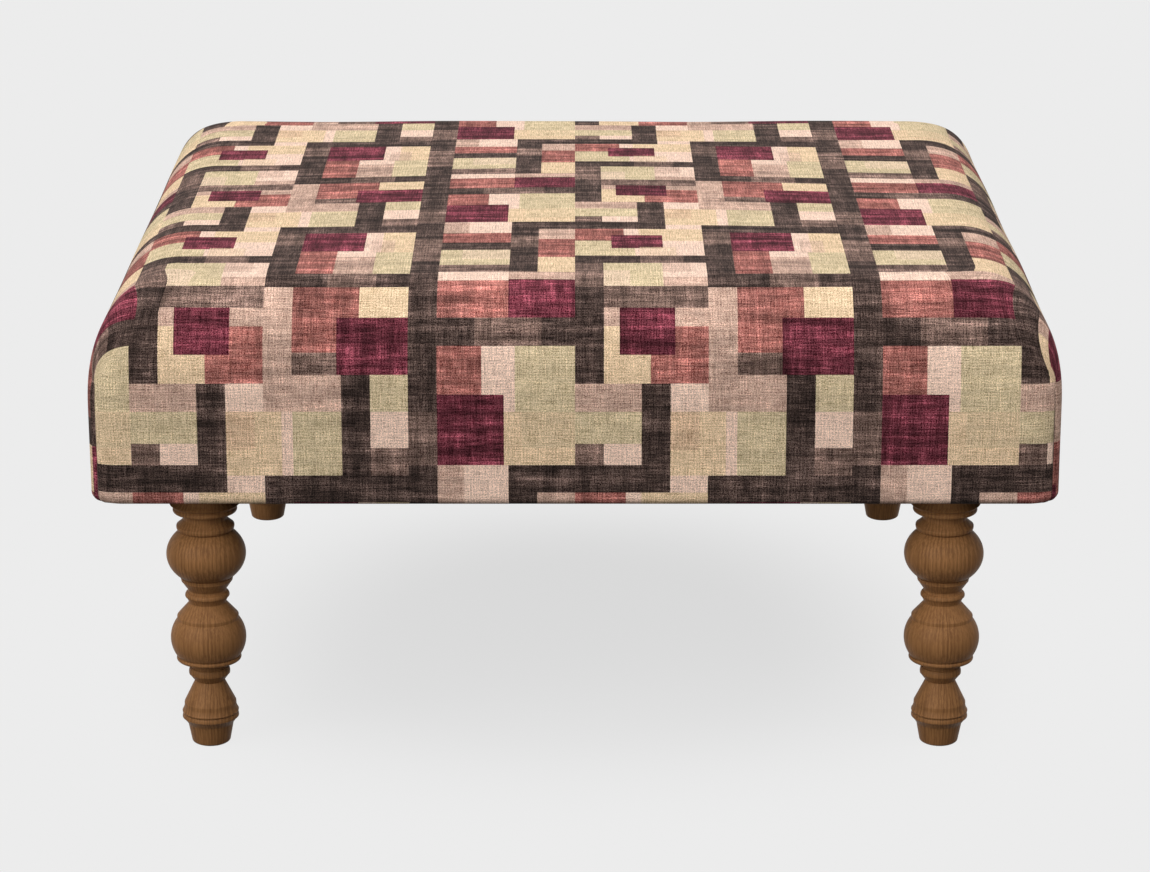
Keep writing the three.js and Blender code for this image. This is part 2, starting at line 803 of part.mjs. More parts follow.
for (const screw of screws) {
  const mesh = place(screw.name, screwGeometry(screw.length), zincSteel);
  mesh.position.copy(screw.at);
  mesh.quaternion.copy(turnTo(screw.points));
}

for (let i = 0; i < longStrapCount; i += 1) {
  const strap = place(
    `webbing_long_${i + 1}`,
    strapGeometry(innerHalfX, crossStrapCount, i % 2 === 0),
    greyWeb
  );
  strap.position.y = innerHalfY * ((2 * i + 1) / longStrapCount - 1);
}

for (let i = 0; i < crossStrapCount; i += 1) {
  const strap = place(
    `webbing_cross_${i + 1}`,
    strapGeometry(innerHalfY, longStrapCount, i % 2 === 1).rotateZ(Math.PI / 2),
    greyWeb
  );
  strap.position.x = innerHalfX * ((2 * i + 1) / crossStrapCount - 1);
}

place("lining_cloth", liningGeometry(), blackCambric);
place("seat_foam", foamGeometry(), creamFoam);
place("top_wadding", topWaddingGeometry(), paleWadding);
place("side_wadding_front", sideWaddingGeometry(true, -1), paleWadding);
place("side_wadding_back", sideWaddingGeometry(true, 1), paleWadding);
place("side_wadding_left", sideWaddingGeometry(false, -1), paleWadding);
place("side_wadding_right", sideWaddingGeometry(false, 1), paleWadding);
place("fabric_cover", coverGeometry(), printedLinen);
place("dust_cover", dustCoverGeometry(), blackCambric);

export default stool;
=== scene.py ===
"""Upholstered footstool: the finished look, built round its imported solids."""

import math

import bpy
import numpy as np
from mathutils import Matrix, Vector


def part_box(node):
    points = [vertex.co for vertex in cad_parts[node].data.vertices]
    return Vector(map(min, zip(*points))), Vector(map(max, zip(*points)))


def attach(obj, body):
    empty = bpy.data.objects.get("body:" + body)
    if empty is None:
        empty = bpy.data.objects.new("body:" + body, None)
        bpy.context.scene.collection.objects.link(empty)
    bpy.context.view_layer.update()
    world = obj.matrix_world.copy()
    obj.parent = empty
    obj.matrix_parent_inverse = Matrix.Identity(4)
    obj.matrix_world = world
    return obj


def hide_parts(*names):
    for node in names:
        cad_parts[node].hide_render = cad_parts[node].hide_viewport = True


bl_info = {
    "name": "Upholstered Footstool",
    "version": (1, 0, 0),
    "blender": (4, 5, 0),
    "location": "3D View > Sidebar > Footstool",
    "description": "Builds a padded, fabric-covered footstool on turned legs",
    "category": "Add Mesh",
}

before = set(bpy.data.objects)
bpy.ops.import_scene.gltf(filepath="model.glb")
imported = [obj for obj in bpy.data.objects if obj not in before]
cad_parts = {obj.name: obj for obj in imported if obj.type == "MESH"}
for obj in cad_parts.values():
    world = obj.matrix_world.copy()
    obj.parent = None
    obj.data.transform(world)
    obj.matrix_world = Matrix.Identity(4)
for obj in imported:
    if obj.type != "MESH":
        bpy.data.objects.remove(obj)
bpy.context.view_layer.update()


def box(node):
    """The low and high corners of a solid."""
    return [np.array(corner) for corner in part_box(node)]


MM = 0.001
TINY = 1e-9
SMOOTH_ANGLE = math.radians(38)
CORNERS = ("front_left", "front_right", "back_left", "back_right")
SIDES = ("front", "back", "left", "right")
COVER_LOW, COVER_HIGH = box("fabric_cover")
HALF_X, HALF_Y = COVER_HIGH[:2]
FOAM_BASE = box("seat_foam")[0][2]
LEG_LOW, LEG_HIGH = box("leg_front_right")
LEG_TOP = LEG_HIGH[2]
FRONT_LEG_Y = (LEG_LOW[1] + LEG_HIGH[1]) / 2


# User-set values


def length(name, description, default, low=0.0, high=2.0):
    """A length property, given in metres."""
    return bpy.props.FloatProperty(
        name=name,
        description=description,
        default=default,
        min=low,
        max=high,
        subtype="DISTANCE",
        unit="LENGTH",
        precision=5,
    )


def number(name, description, default, low=0.0, high=10.0):
    """A plain number property."""
    return bpy.props.FloatProperty(
        name=name, description=description, default=default, min=low, max=high
    )


def colour(name, description, red, green, blue):
    """A colour property, given as screen values from 0 to 255 and kept linear."""
    linear = tuple(to_linear(value / 255) for value in (red, green, blue))
    return bpy.props.FloatVectorProperty(
        name=name,
        description=description,
        default=(*linear, 1.0),
        size=4,
        min=0.0,
        max=1.0,
        subtype="COLOR",
    )


def vector(name, description, default):
    """A property of three numbers."""
    return bpy.props.FloatVectorProperty(name=name, description=description, default=default)


def to_linear(value):
    """The linear light of a screen value from 0 to 1."""
    return value / 12.92 if value <= 0.04045 else ((value + 0.055) / 1.055) ** 2.4


class CoverSizes(bpy.types.PropertyGroup):
    """Sizes of the padded top and its sewn cover."""

    cloth: length("Cloth", "Thickness of the cover's cloth", 1.2 * MM)
    roll_reach: length("Roll reach", "How far in the top edge is rounded", 81 * MM)
    roll_height: length("Roll height", "How far down the top edge is rounded", 112 * MM)
    roll_power: number("Roll fullness", "Power of the roll's superellipse", 2.4)
    crown: length("Crown", "Rise of the top's middle", 6 * MM)
    corner_radius: length("Corner radius", "Radius of the upright corners", 24.2 * MM)
    hem_radius: length("Hem radius", "Bend where the cloth turns under", 7.7 * MM)
    hem_width: length("Hem width", "Cloth turned under the frame", 27 * MM)
    wadding: length("Wadding", "Thickness of the wadding", 6 * MM)
    clearance: length("Clearance", "Space between layers", 0.3 * MM)
    seam_top: length("Seam top", "Height where the corner seams end", 366 * MM)
    seam_depth: length("Seam depth", "Depth of the corner seams", 1.5 * MM)
    seam_width: length("Seam width", "Width of the seam's groove", 1.5 * MM)
    seam_ease: length("Seam ease", "Width of the print's turn above a seam", 46 * MM)
    softness: length("Softness", "Unevenness of the padding", 0.5 * MM)


class ClothColours(bpy.types.PropertyGroup):
    """Inks of the cover's print and how strongly its threads show."""

    dark: colour("Dark", "Bars of the print", 71, 57, 52)
    umber: colour("Umber", "Faded parts of the bars", 115, 93, 84)
    cream: colour("Cream", "Palest ground", 226, 195, 176)
    blush: colour("Blush", "Pinkish ground", 190, 158, 141)
    sand: colour("Sand", "Warm blocks", 216, 188, 154)
    sage: colour("Sage", "Khaki blocks", 199, 180, 146)
    rust: colour("Rust", "Red-brown blocks", 151, 95, 87)
    wine: colour("Wine", "Deep red accents", 100, 46, 56)
    linen: colour("Linen", "Undyed thread", 242, 224, 206)
    thread_width: length("Thread", "Width of a thread", 0.72 * MM)
    weave_pitch: length("Weave pitch", "From one raised row to the next", 2.65 * MM)
    weave: number("Weave", "How strongly the rows show", 0.12, 0, 1)
    uptake: number("Uneven dye", "How unevenly the fine threads take the dye", 5.0, 0, 20)
    slubs: number("Slubs", "How strongly the thick threads show", 2.6, 0, 20)
    bleed: number("Bare fibre", "How much undyed fibre shows in a pale thread", 0.012, 0, 1)
    mottle: number("Mottling", "How unevenly the print is brushed on", 7.0, 0, 20)


class WoodColours(bpy.types.PropertyGroup):
    """Stain and grain of the turned legs and of the plain frame."""

    light: colour("Light stain", "Early wood of the legs", 150, 107, 67)
    middle: colour("Stain", "Main colour of the legs", 131, 91, 56)
    deep: colour("Deep stain", "Late wood of the legs", 92, 61, 37)
    pine: colour("Pine", "Frame boards", 205, 168, 116)
    pine_deep: colour("Pine grain", "Late wood of the frame", 168, 122, 74)
    beech: colour("Beech", "Corner blocks", 190, 148, 104)


class StageSettings(bpy.types.PropertyGroup):
    """Camera, light and floor."""

    focal: number("Lens", "Focal length in millimetres", 118.96, 10, 400)
    pitch: bpy.props.FloatProperty(
        name="Pitch",
        description="How far the camera looks down",
        default=math.radians(16.741),
        subtype="ANGLE",
    )
    camera_height: length("Camera height", "Height over the floor", 1.301, 0, 10)
    camera_back: length("Camera distance", "Distance ahead of the front legs", 3.3338, 0, 20)
    floor: colour("Floor", "Floor and backdrop, as seen", 236, 236, 236)
    ground: colour("Ground", "Floor, where the light falls on it", 218, 218, 218)
    bounce: colour("Bounce", "Floor, as it lights the stool", 18, 18, 18)
    floor_size: length("Floor size", "Half the floor's side", 60.0, 1, 200)
    ambient: number("Ambient", "Strength of the light from all round", 0.31)
    key: number("Key light", "Strength of the soft light from above", 2.7)
    key_from: vector("Key light from", "Way to the light from above", (-0.06, -0.31, 0.95))
    key_spread: number("Key softness", "Spread of the light from above in degrees", 100, 0, 180)
    side: number("Side light", "Strength of the soft light from the left", 1.36)
    side_from: vector("Side light from", "Way to the light from the left", (-0.66, -0.69, 0.28))
    side_spread: number("Side softness", "Spread of the light from the left in degrees", 50, 0, 180)
    shadow_lift: number("Shadow lift", "Share of the floor's own light", 0.81, 0, 1)
    shadow_middle: length("Shadow middle", "How far ahead of the stool's middle it is", 0.08)
    shadow_reach: vector("Shadow reach", "Half width and half depth of the shadow", (0.48, 0.64, 1))
    shadow_core: number("Shadow core", "Share of the reach with the full shadow", 0.38, 0, 0.99)


# Surfaces as grids of points


def smooth(value):
    """Smoothstep of a value, clipped to 0 and 1."""
    value = np.clip(value, 0, 1)
    return value * value * (3 - 2 * value)


def grid_faces(rows, columns, closed):
    """Corner indices of a grid's quads, with the last column joined to the first if closed."""
    across = columns if closed else columns - 1
    row, column = np.meshgrid(np.arange(rows - 1), np.arange(across), indexing="ij")
    after = (column + 1) % columns
    low, high = row * columns, (row + 1) * columns
    return np.stack([low + column, low + after, high + after, high + column], axis=-1).reshape(-1, 4)


def fan_faces(first, columns, tip, upwards):
    """Triangles from a ring of points to one tip, wound to face away from the ring's inside."""
    here = first + np.arange(columns)
    after = first + (np.arange(columns) + 1) % columns
    tips = np.full(columns, tip)
    return np.stack([here, after, tips] if upwards else [after, here, tips], axis=-1)


def make_object(name, points, faces, material, sharp=True):
    """A mesh object at the origin from points and lists of faces, riding on the stool's one body."""
    mesh = bpy.data.meshes.new(name)
    lists = [face for group in faces for face in group.tolist()]
    mesh.from_pydata(points.tolist(), [], lists)
    mesh.polygons.foreach_set("use_smooth", np.ones(len(lists), bool))
    if sharp:
        mesh.set_sharp_from_angle(angle=SMOOTH_ANGLE)
    mesh.materials.append(material)
    mesh.update()
    piece = bpy.data.objects.new(name, mesh)
    bpy.context.scene.collection.objects.link(piece)
    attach(piece, "root")
    return piece


def closed_grid(grid, start_tip, end_tip):
    """Points and faces of rings that run from one tip to another, with the rings closed round."""
    rows, columns = grid.shape[:2]
    points = np.concatenate([grid.reshape(-1, 3), [start_tip, end_tip]])
    last_ring = (rows - 1) * columns
    faces = [
        grid_faces(rows, columns, True),
        fan_faces(0, columns, rows * columns, False),
        fan_faces(last_ring, columns, rows * columns + 1, True),
    ]
    return points, faces


# The stool's plan and section


class Plan:
    """Points round a rounded rectangle: each has a place on the straight sides and a normal.

    A ring of half sizes a and b and radius r is (sx (a - r) + nx r, sy (b - r) + ny r). Along a
    side the points crowd towards the corners, as crowding sin (pi u / 2) + (1 - crowding) u.
    """

    crowding = 0.35

    def __init__(self, per_side, per_corner):
        """Lays out corners from 0 to 360 degrees, with a side after each."""
        along = np.linspace(1, -1, per_side + 2)[1:-1]
        slide = self.crowding * np.sin(along * math.pi / 2) + (1 - self.crowding) * along
        place, normal, corner = [], [], []
        signs = [(1, 1), (-1, 1), (-1, -1), (1, -1)]
        for index, (x, y) in enumerate(signs):
            angle = math.pi / 2 * (index + np.linspace(0, 1, per_corner + 1))
            place.append(np.tile([x, y], (per_corner + 1, 1)))
            normal.append(np.stack([np.cos(angle), np.sin(angle)], axis=-1))
            corner.append(np.full(per_corner + 1, index))
            side = np.tile(np.array([x, y], float), (per_side, 1))
            side[:, index % 2] *= slide
            place.append(side)
            normal.append(np.tile(np.round([np.cos(angle[-1]), np.sin(angle[-1])]), (per_side, 1)))
            corner.append(np.where(slide > 0, index, (index + 1) % 4))
        self.place = np.concatenate(place)
        self.normal = np.concatenate(normal)
        self.corner = np.concatenate(corner)
        self.signs = np.array(signs, float)

    def ring(self, half_x, half_y, radius, height):
        """Rings of these half sizes. Radius and height are one value a ring, or one for all."""
        straight = np.stack([half_x - radius, half_y - radius], axis=-1)[:, None, :]
        flat = self.place * straight + self.normal * np.reshape(radius, (-1, 1, 1))
        high = np.broadcast_to(np.reshape(height, (-1, 1, 1)), (*flat.shape[:2], 1))
        return np.concatenate([flat, high], axis=-1)

    def from_corner(self, flat, radius):
        """Signed distance along the outline from the middle of the nearest corner's arc."""
        sign = self.signs[self.corner]
        middle = sign * (np.abs(flat).max(axis=(0, 1)) - radius)
        turn = np.arctan2(self.normal[:, 1], self.normal[:, 0]) % (2 * math.pi)
        arc = radius * (turn - math.pi / 2 * (self.corner + 0.5))
        round_trip = 2 * math.pi * radius
        arc = (arc + round_trip / 2) % round_trip - round_trip / 2
        half = radius * math.pi / 4
        past = np.linalg.norm(flat - middle, axis=-1)
        straight = np.sqrt(np.maximum(past**2 - radius**2, 0))
        on_arc = np.abs(arc) < half - TINY
        return np.where(on_arc, arc, np.sign(arc) * (half + straight))


def crown_lift(x, y, cover):
    """Rise of the top: the crown times (1 - x^2)^2 (1 - y^2)^2, with x and y as shares of the flat."""
    across = np.clip(np.abs(x) / (HALF_X - cover.roll_reach), 0, 1)
    along = np.clip(np.abs(y) / (HALF_Y - cover.roll_reach), 0, 1)
    return cover.crown * (1 - across**2) ** 2 * (1 - along**2) ** 2


def roll_section(cover, inset, steps):
    """Steps in and heights of the rolled edge, a quarter superellipse from the side to the top.

    At angle t the step in is reach (1 - cos^(2/n) t) and the height is rise sin^(2/n) t.
    """
    angle = np.linspace(0, math.pi / 2, steps + 1)
    share = 2 / cover.roll_power
    step_in = inset + (cover.roll_reach - inset) * (1 - np.clip(np.cos(angle), 0, 1) ** share)
    rise = (cover.roll_height - inset) * np.sin(angle) ** share
    return step_in, top_level(cover) - cover.roll_height + rise


def top_level(cover):
    """Height of the top's edge, where the crown starts."""
    return COVER_HIGH[2] - cover.crown


def top_rings(plan, cover, inset, shares):
    """Rings on the crowned top, from its edge to near its middle, as shares of the flat."""
    half_x = (HALF_X - cover.roll_reach) * shares
    half_y = (HALF_Y - cover.roll_reach) * shares
    radius = (cover.corner_radius - inset) * shares
    rings = plan.ring(half_x, half_y, radius, top_level(cover) - inset)
    rings[..., 2] += crown_lift(rings[..., 0], rings[..., 1], cover)
    return rings


def body_rings(plan, cover, inset, step_in, height):
    """Rings of the body's outline at these steps in and heights."""
    return plan.ring(HALF_X - step_in, HALF_Y - step_in, cover.corner_radius - inset, height)


def crown_tip(inset):
    """The middle of the top, so far below the highest point."""
    return [0, 0, COVER_HIGH[2] - inset]


# Rings on the crowned top, as shares of its flat
TOP_SHARES = np.array([0.97, 0.93, 0.88, 0.82, 0.75, 0.67, 0.58, 0.48, 0.37, 0.25, 0.12, 0.03])


# Printed cover

# Points along each side and round each corner of the plan
COVER_PER_SIDE = 84
COVER_PER_CORNER = 26
# Steps of the outer and the inner face's section, from the hem to the top's edge
UNDER_STEPS = 6
HEM_STEPS = 6
WALL_STEPS = 46
ROLL_STEPS = 40
INNER_HEM_STEPS = 3
INNER_ROLL_STEPS = 16
# One ring of the upright wall, and how many rings the relief takes to rise at the hem
WALL_RING = 20
RELIEF_RINGS = 5
# How fast the relief fades from the top's edge inwards, as a power of the ring's share
RELIEF_POWER = 6


def hem_section(cover, inset, steps):
    """Steps in and heights of the quarter circle where the cloth turns under, from the side down."""
    angle = np.linspace(0, math.pi / 2, steps + 1)
    bend = cover.hem_radius - inset
    step_in = inset + bend * (1 - np.cos(angle))
    return step_in, COVER_LOW[2] + cover.hem_radius - bend * np.sin(angle)


def cover_section(cover):
    """The outer face's steps in and heights, from the hem's inner edge up to the top's edge."""
    bend_in, bend_height = hem_section(cover, 0, HEM_STEPS)
    roll_in, roll_height = roll_section(cover, 0, ROLL_STEPS)
    under = np.linspace(cover.hem_width, cover.hem_radius, UNDER_STEPS)[:-1]
    wall = np.linspace(COVER_LOW[2] + cover.hem_radius, roll_height[0], WALL_STEPS)[1:-1]
    step_in = np.concatenate([under, bend_in[::-1], np.zeros(len(wall)), roll_in])
    height = np.concatenate([np.full(len(under), COVER_LOW[2]), bend_height[::-1], wall, roll_height])
    return step_in, height


def inner_section(cover):
    """The inner face's steps in and heights, from the top's edge down to the hem."""
    roll_in, roll_height = roll_section(cover, cover.cloth, INNER_ROLL_STEPS)
    bend_in, bend_height = hem_section(cover, cover.cloth, INNER_HEM_STEPS)
    step_in = np.concatenate([roll_in[::-1], bend_in, [cover.hem_width]])
    height = np.concatenate([roll_height[::-1], bend_height, [COVER_LOW[2] + cover.cloth]])
    return step_in, height


def run_past_edge(step_in, height):
    """Length along the section from the top's edge, for every ring of the outer face."""
    steps = np.hypot(np.diff(step_in), np.diff(height))
    return np.concatenate([np.cumsum(steps[::-1])[::-1], [0]])


def seam_fade(cover, height):
    """1 along the corner seams, easing to 0 at their tops."""
    ease = 8 * MM
    return 1 - smooth((height - cover.seam_top) / ease + 1)


def seam_relief(cover, distance, height):
    """How far the cloth stands out by a corner seam: a groove between two low lips, with puckers.

    Groove and lips are bells exp(-d^2), and the puckers are short waves that swell and fade.
    """
    stitch, drift = 2.1 * MM, 13 * MM
    lip_middle, lip_width = 2.6 * cover.seam_width, 1.7 * cover.seam_width
    lip_height = 0.34 * cover.seam_depth
    groove = -cover.seam_depth * np.exp(-((distance / cover.seam_width) ** 2))
    pucker = 0.75 + 0.25 * np.sin(height / stitch) * np.sin(height / drift + 1)
    lips = lip_height * np.exp(-(((np.abs(distance) - lip_middle) / lip_width) ** 2)) * pucker
    return (groove + lips) * seam_fade(cover, height)


def padding_relief(cover, rings):
    """Slow unevenness of padding under cloth: long waves across the surface, fading at the hem.

    Each wave is a product of two sines, in radians a metre, with lengths that don't repeat.
    """
    x, y, z = rings[..., 0], rings[..., 1], rings[..., 2]
    hem_fade = 30 * MM
    wave = np.sin(17 * x + 5 * y + 1.3) * np.sin(13 * y - 7 * z + 0.4)
    wave += 0.6 * np.sin(31 * x - 11 * z + 2.1) * np.sin(23 * y + 19 * z)
    return cover.softness * wave * smooth((z - COVER_LOW[2]) / hem_fade)


def section_normal(step_in, height):
    """Outward (sideways, upward) directions square to the section."""
    sideways = np.gradient(height)
    upward = np.gradient(step_in)
    size = np.hypot(sideways, upward) + TINY
    return sideways / size, upward / size


def print_map(plan, rings, run, distance, cover):
    """Place on the flat print for every point, as it is before a seam and after it.

    The front and back panels run on from the top, and the side panels turn the print down over
    their roll. Above a corner seam one eases into the other, and along the seam they are cut off
    against each other.
    """
    x, y, z = rings[..., 0], rings[..., 1], rings[..., 2]
    run = run[:, None]
    across = np.stack([x, np.sign(plan.place[:, 1]) * (HALF_Y - cover.roll_reach + run)], axis=-1)
    beside = np.stack([np.sign(plan.place[:, 0]) * (HALF_X - cover.roll_reach + run), y], axis=-1)
    flat = run < TINY
    across = np.where(flat[..., None], rings[..., :2], across)
    beside = np.where(flat[..., None], rings[..., :2], beside)
    open_share = smooth((z - cover.seam_top) / (top_level(cover) - cover.seam_top))
    ease = TINY + cover.seam_ease * np.sqrt(open_share)
    from_side_first = np.where(plan.corner % 2 == 0, 1.0, -1.0)
    maps = []
    for nudge in (-1, 1):
        moved = np.where(np.abs(distance) < TINY, nudge * 10 * TINY, distance)
        share = smooth((moved * from_side_first / ease + 1) / 2)[..., None]
        maps.append(beside * (1 - share) + across * share)
    return maps


def build_cover(cover, material):
    """The sewn cover: rings of the section round the plan, closed by an inner wall.

    The outer face carries the seams, the padding's unevenness and the print's map.
    """
    plan = Plan(COVER_PER_SIDE, COVER_PER_CORNER)
    step_in, height = cover_section(cover)
    outer = body_rings(plan, cover, 0, step_in, height)
    run = run_past_edge(step_in, height)
    top = top_rings(plan, cover, 0, TOP_SHARES)
    rings = np.concatenate([outer, top])
    run = np.concatenate([run, np.zeros(len(top))])
    distance = plan.from_corner(outer[WALL_RING : WALL_RING + 1, :, :2], cover.corner_radius)
    maps = print_map(plan, rings, run, np.broadcast_to(distance, rings.shape[:2]), cover)

    sideways, upward = section_normal(step_in, height)
    relief = seam_relief(cover, distance, outer[..., 2]) + padding_relief(cover, outer)
    relief *= smooth(np.arange(len(outer)) / RELIEF_RINGS)[:, None]
    outward = plan.normal[None] * sideways[:, None, None]
    rings[: len(outer), :, :2] += outward * relief[..., None]
    rings[: len(outer), :, 2] += upward[:, None] * relief
    rings[len(outer) :, :, 2] += relief[-1] * TOP_SHARES[:, None] ** RELIEF_POWER

    in_step, in_height = inner_section(cover)
    inner_top = top_rings(plan, cover, cover.cloth, TOP_SHARES[::-1])
    inner = body_rings(plan, cover, cover.cloth, in_step, in_height)
    shell = np.concatenate([inner_top, inner, rings])
    points, faces = closed_grid(shell, crown_tip(cover.cloth), crown_tip(0))
    piece = make_object("printed_cover", points, faces, material, sharp=False)

    inside = len(inner_top) + len(inner)
    blank = np.zeros((inside, *maps[0].shape[1:]))
    before, after = (np.concatenate([blank, chart]) for chart in maps)
    set_print_map(piece, before, after)
    return piece


def set_print_map(piece, before, after):
    """Gives every face its corners' places on the print, in metres.

    A face takes the 'after' map on its first column and the 'before' map on its next one, so
    that the two sides of a seam keep their own.
    """
    columns = before.shape[1]
    here = np.arange(columns)
    there = (here + 1) % columns
    quads = np.stack(
        [after[:-1][:, here], before[:-1][:, there], before[1:][:, there], after[1:][:, here]],
        axis=2,
    )
    middle = np.zeros((columns, 2))
    start = np.stack([before[0][there], after[0][here], middle], axis=1)
    end = np.stack([after[-1][here], before[-1][there], middle], axis=1)
    values = np.concatenate([quads.reshape(-1), start.reshape(-1), end.reshape(-1)])
    chart = piece.data.uv_layers.new(name="print")
    chart.uv.foreach_set("vector", values.astype(np.float32))


# Foam and wadding

PAD_PER_SIDE = 20
PAD_PER_CORNER = 8
PAD_ROLL_STEPS = 24


def build_foam(cover, material):
    """The foam block: a flat base, the rolled section and the crowned top."""
    inset = cover.cloth + cover.wadding + 2 * cover.clearance
    base_ring = 40 * MM
    plan = Plan(PAD_PER_SIDE, PAD_PER_CORNER)
    step_in, height = roll_section(cover, inset, PAD_ROLL_STEPS)
    keep = height > FOAM_BASE + TINY
    start = np.interp(FOAM_BASE, height, step_in)
    step_in = np.concatenate([[start + base_ring, start], step_in[keep]])
    height = np.concatenate([[FOAM_BASE, FOAM_BASE], height[keep]])
    rings = body_rings(plan, cover, inset, step_in, height)
    grid = np.concatenate([rings, top_rings(plan, cover, inset, TOP_SHARES)])
    points, faces = closed_grid(grid, [0, 0, FOAM_BASE], crown_tip(inset))
    piece = make_object("foam_block", points, faces, material)
    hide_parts("seat_foam")


def build_top_wadding(cover, material):
    """The wadding over the foam: two rolled sections a wadding's thickness apart, closed below."""
    outer_inset = cover.cloth + cover.clearance
    inner_inset = outer_inset + cover.wadding
    plan = Plan(PAD_PER_SIDE, PAD_PER_CORNER)
    grids = []
    for inset in (inner_inset, outer_inset):
        step_in, height = roll_section(cover, inset, PAD_ROLL_STEPS)
        height[0] += cover.clearance
        rings = body_rings(plan, cover, inset, step_in, height)
        grids.append(np.concatenate([rings, top_rings(plan, cover, inset, TOP_SHARES)]))
    grid = np.concatenate([grids[0][::-1], grids[1]])
    points, faces = closed_grid(grid, crown_tip(inner_inset), crown_tip(outer_inset))
    piece = make_object("top_wadding_sheet", points, faces, material)
    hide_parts("top_wadding")


def squared(wave, power):
    """A sine or cosine made fuller, for a superellipse |a|^power + |b|^power = 1."""
    return np.sign(wave) * np.abs(wave) ** (2 / power)


def pillow(low, high, thin_axis, rings, sides):
    """A pad filling a box: rings along its length, each |a|^power + |b|^power = 1 in the section.

    Near an end its thickness falls as distance^end_power, and its height falls by end_drop. The
    rings turn the way that makes the faces look outwards.
    """
    end_share, end_power, end_drop, power = 1 / 60, 0.3, 0.015, 8
    long_axis = 1 - thin_axis
    outwards = 1 if thin_axis == 1 else -1
    turn = outwards * np.linspace(0, 2 * math.pi, sides, endpoint=False)
    wide, tall = squared(np.cos(turn), power), squared(np.sin(turn), power)
    place = np.linspace(0, 1, rings)
    middle, half = (low + high) / 2, (high - low) / 2
    size = np.clip(np.minimum(place, 1 - place) / end_share, 0, 1)[:, None] ** end_power
    grid = np.zeros((rings, sides, 3))
    grid[..., thin_axis] = middle[thin_axis] + half[thin_axis] * wide * size
    grid[..., long_axis] = (middle[long_axis] + half[long_axis] * (2 * place - 1))[:, None]
    grid[..., 2] = middle[2] + half[2] * tall * (1 - end_drop + end_drop * size)
    return grid


def build_side_wadding(material):
    """Four pads between the frame and the cover, one a side."""
    for side in SIDES:
        node = f"side_wadding_{side}"
        thin_axis = 1 if side in ("front", "back") else 0
        grid = pillow(*box(node), thin_axis, rings=60, sides=40)[1:-1]
        points, faces = closed_grid(grid, grid[0].mean(axis=0), grid[-1].mean(axis=0))
        piece = make_object(f"wadding_strip_{side}", points, faces, material)
        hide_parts(node)


# Flat cloths under the frame and over the webbing

CLOTH_PER_SIDE = 24
CLOTH_PER_CORNER = 6
CLOTH_SHARES = np.array([0.03, 0.15, 0.3, 0.45, 0.6, 0.74, 0.86, 0.94, 0.985, 1.0])


def flat_cloth(name, low, high, corner_radius, material):
    """A thin, taut, closed sheet: rings of its plan, out along the bottom and back over the top."""
    plan = Plan(CLOTH_PER_SIDE, CLOTH_PER_CORNER)
    half_x, half_y = high[:2, None] * CLOTH_SHARES
    below, above = (
        plan.ring(half_x, half_y, corner_radius * CLOTH_SHARES, level) for level in (low[2], high[2])
    )
    grid = np.concatenate([below, above[::-1]])
    points, faces = closed_grid(grid, [0, 0, low[2]], [0, 0, high[2]])
    return make_object(name, points, faces, material)


# Turned legs

LEG_SIDES = 80
BORE_RADIUS = 4.3 * MM
BORE_DEPTH = 38.3 * MM
# How far an edge is eased, in length and as a share of the step beside it
EDGE_SOFTNESS = 0.32 * MM
EDGE_SHARE = 0.4
# Points of the profile that lie closer are one point
LEAST_STEP = 0.02 * MM
# How far the grain is drawn towards one even radius, and the least radius that counts for it
FOLLOW = 0.5
EVEN_RADIUS = 28 * MM
LEAST_RADIUS = 5 * MM
# Each leg's turn in its wood in radians, and how far along the wood one radian takes it
LEG_TURNS = (0.1, 0.1, 1.3, 2.4)
TURN_SHIFT = 0.35


def swelling(inner, widest, height, steps, start=-1.0, end=1.0):
    """A round moulding's points: radius inner + (widest - inner) cos t, and height as sin t.

    The sine runs from start to end, and their heights are 0 and the moulding's height.
    """
    angle = np.linspace(math.asin(start), math.asin(end), steps + 1)
    level = (np.sin(angle) - start) / (end - start)
    return np.stack([inner + (widest - inner) * np.cos(angle), height * level], axis=-1)


def taper(low, high, height, steps=1, hollow=0.0):
    """A cone's points, drawn in by hollow 4 s (1 - s) at a share s of its height."""
    share = np.linspace(0, 1, steps + 1)
    radius = low + (high - low) * share - hollow * 4 * share * (1 - share)
    return np.stack([radius, height * share], axis=-1)


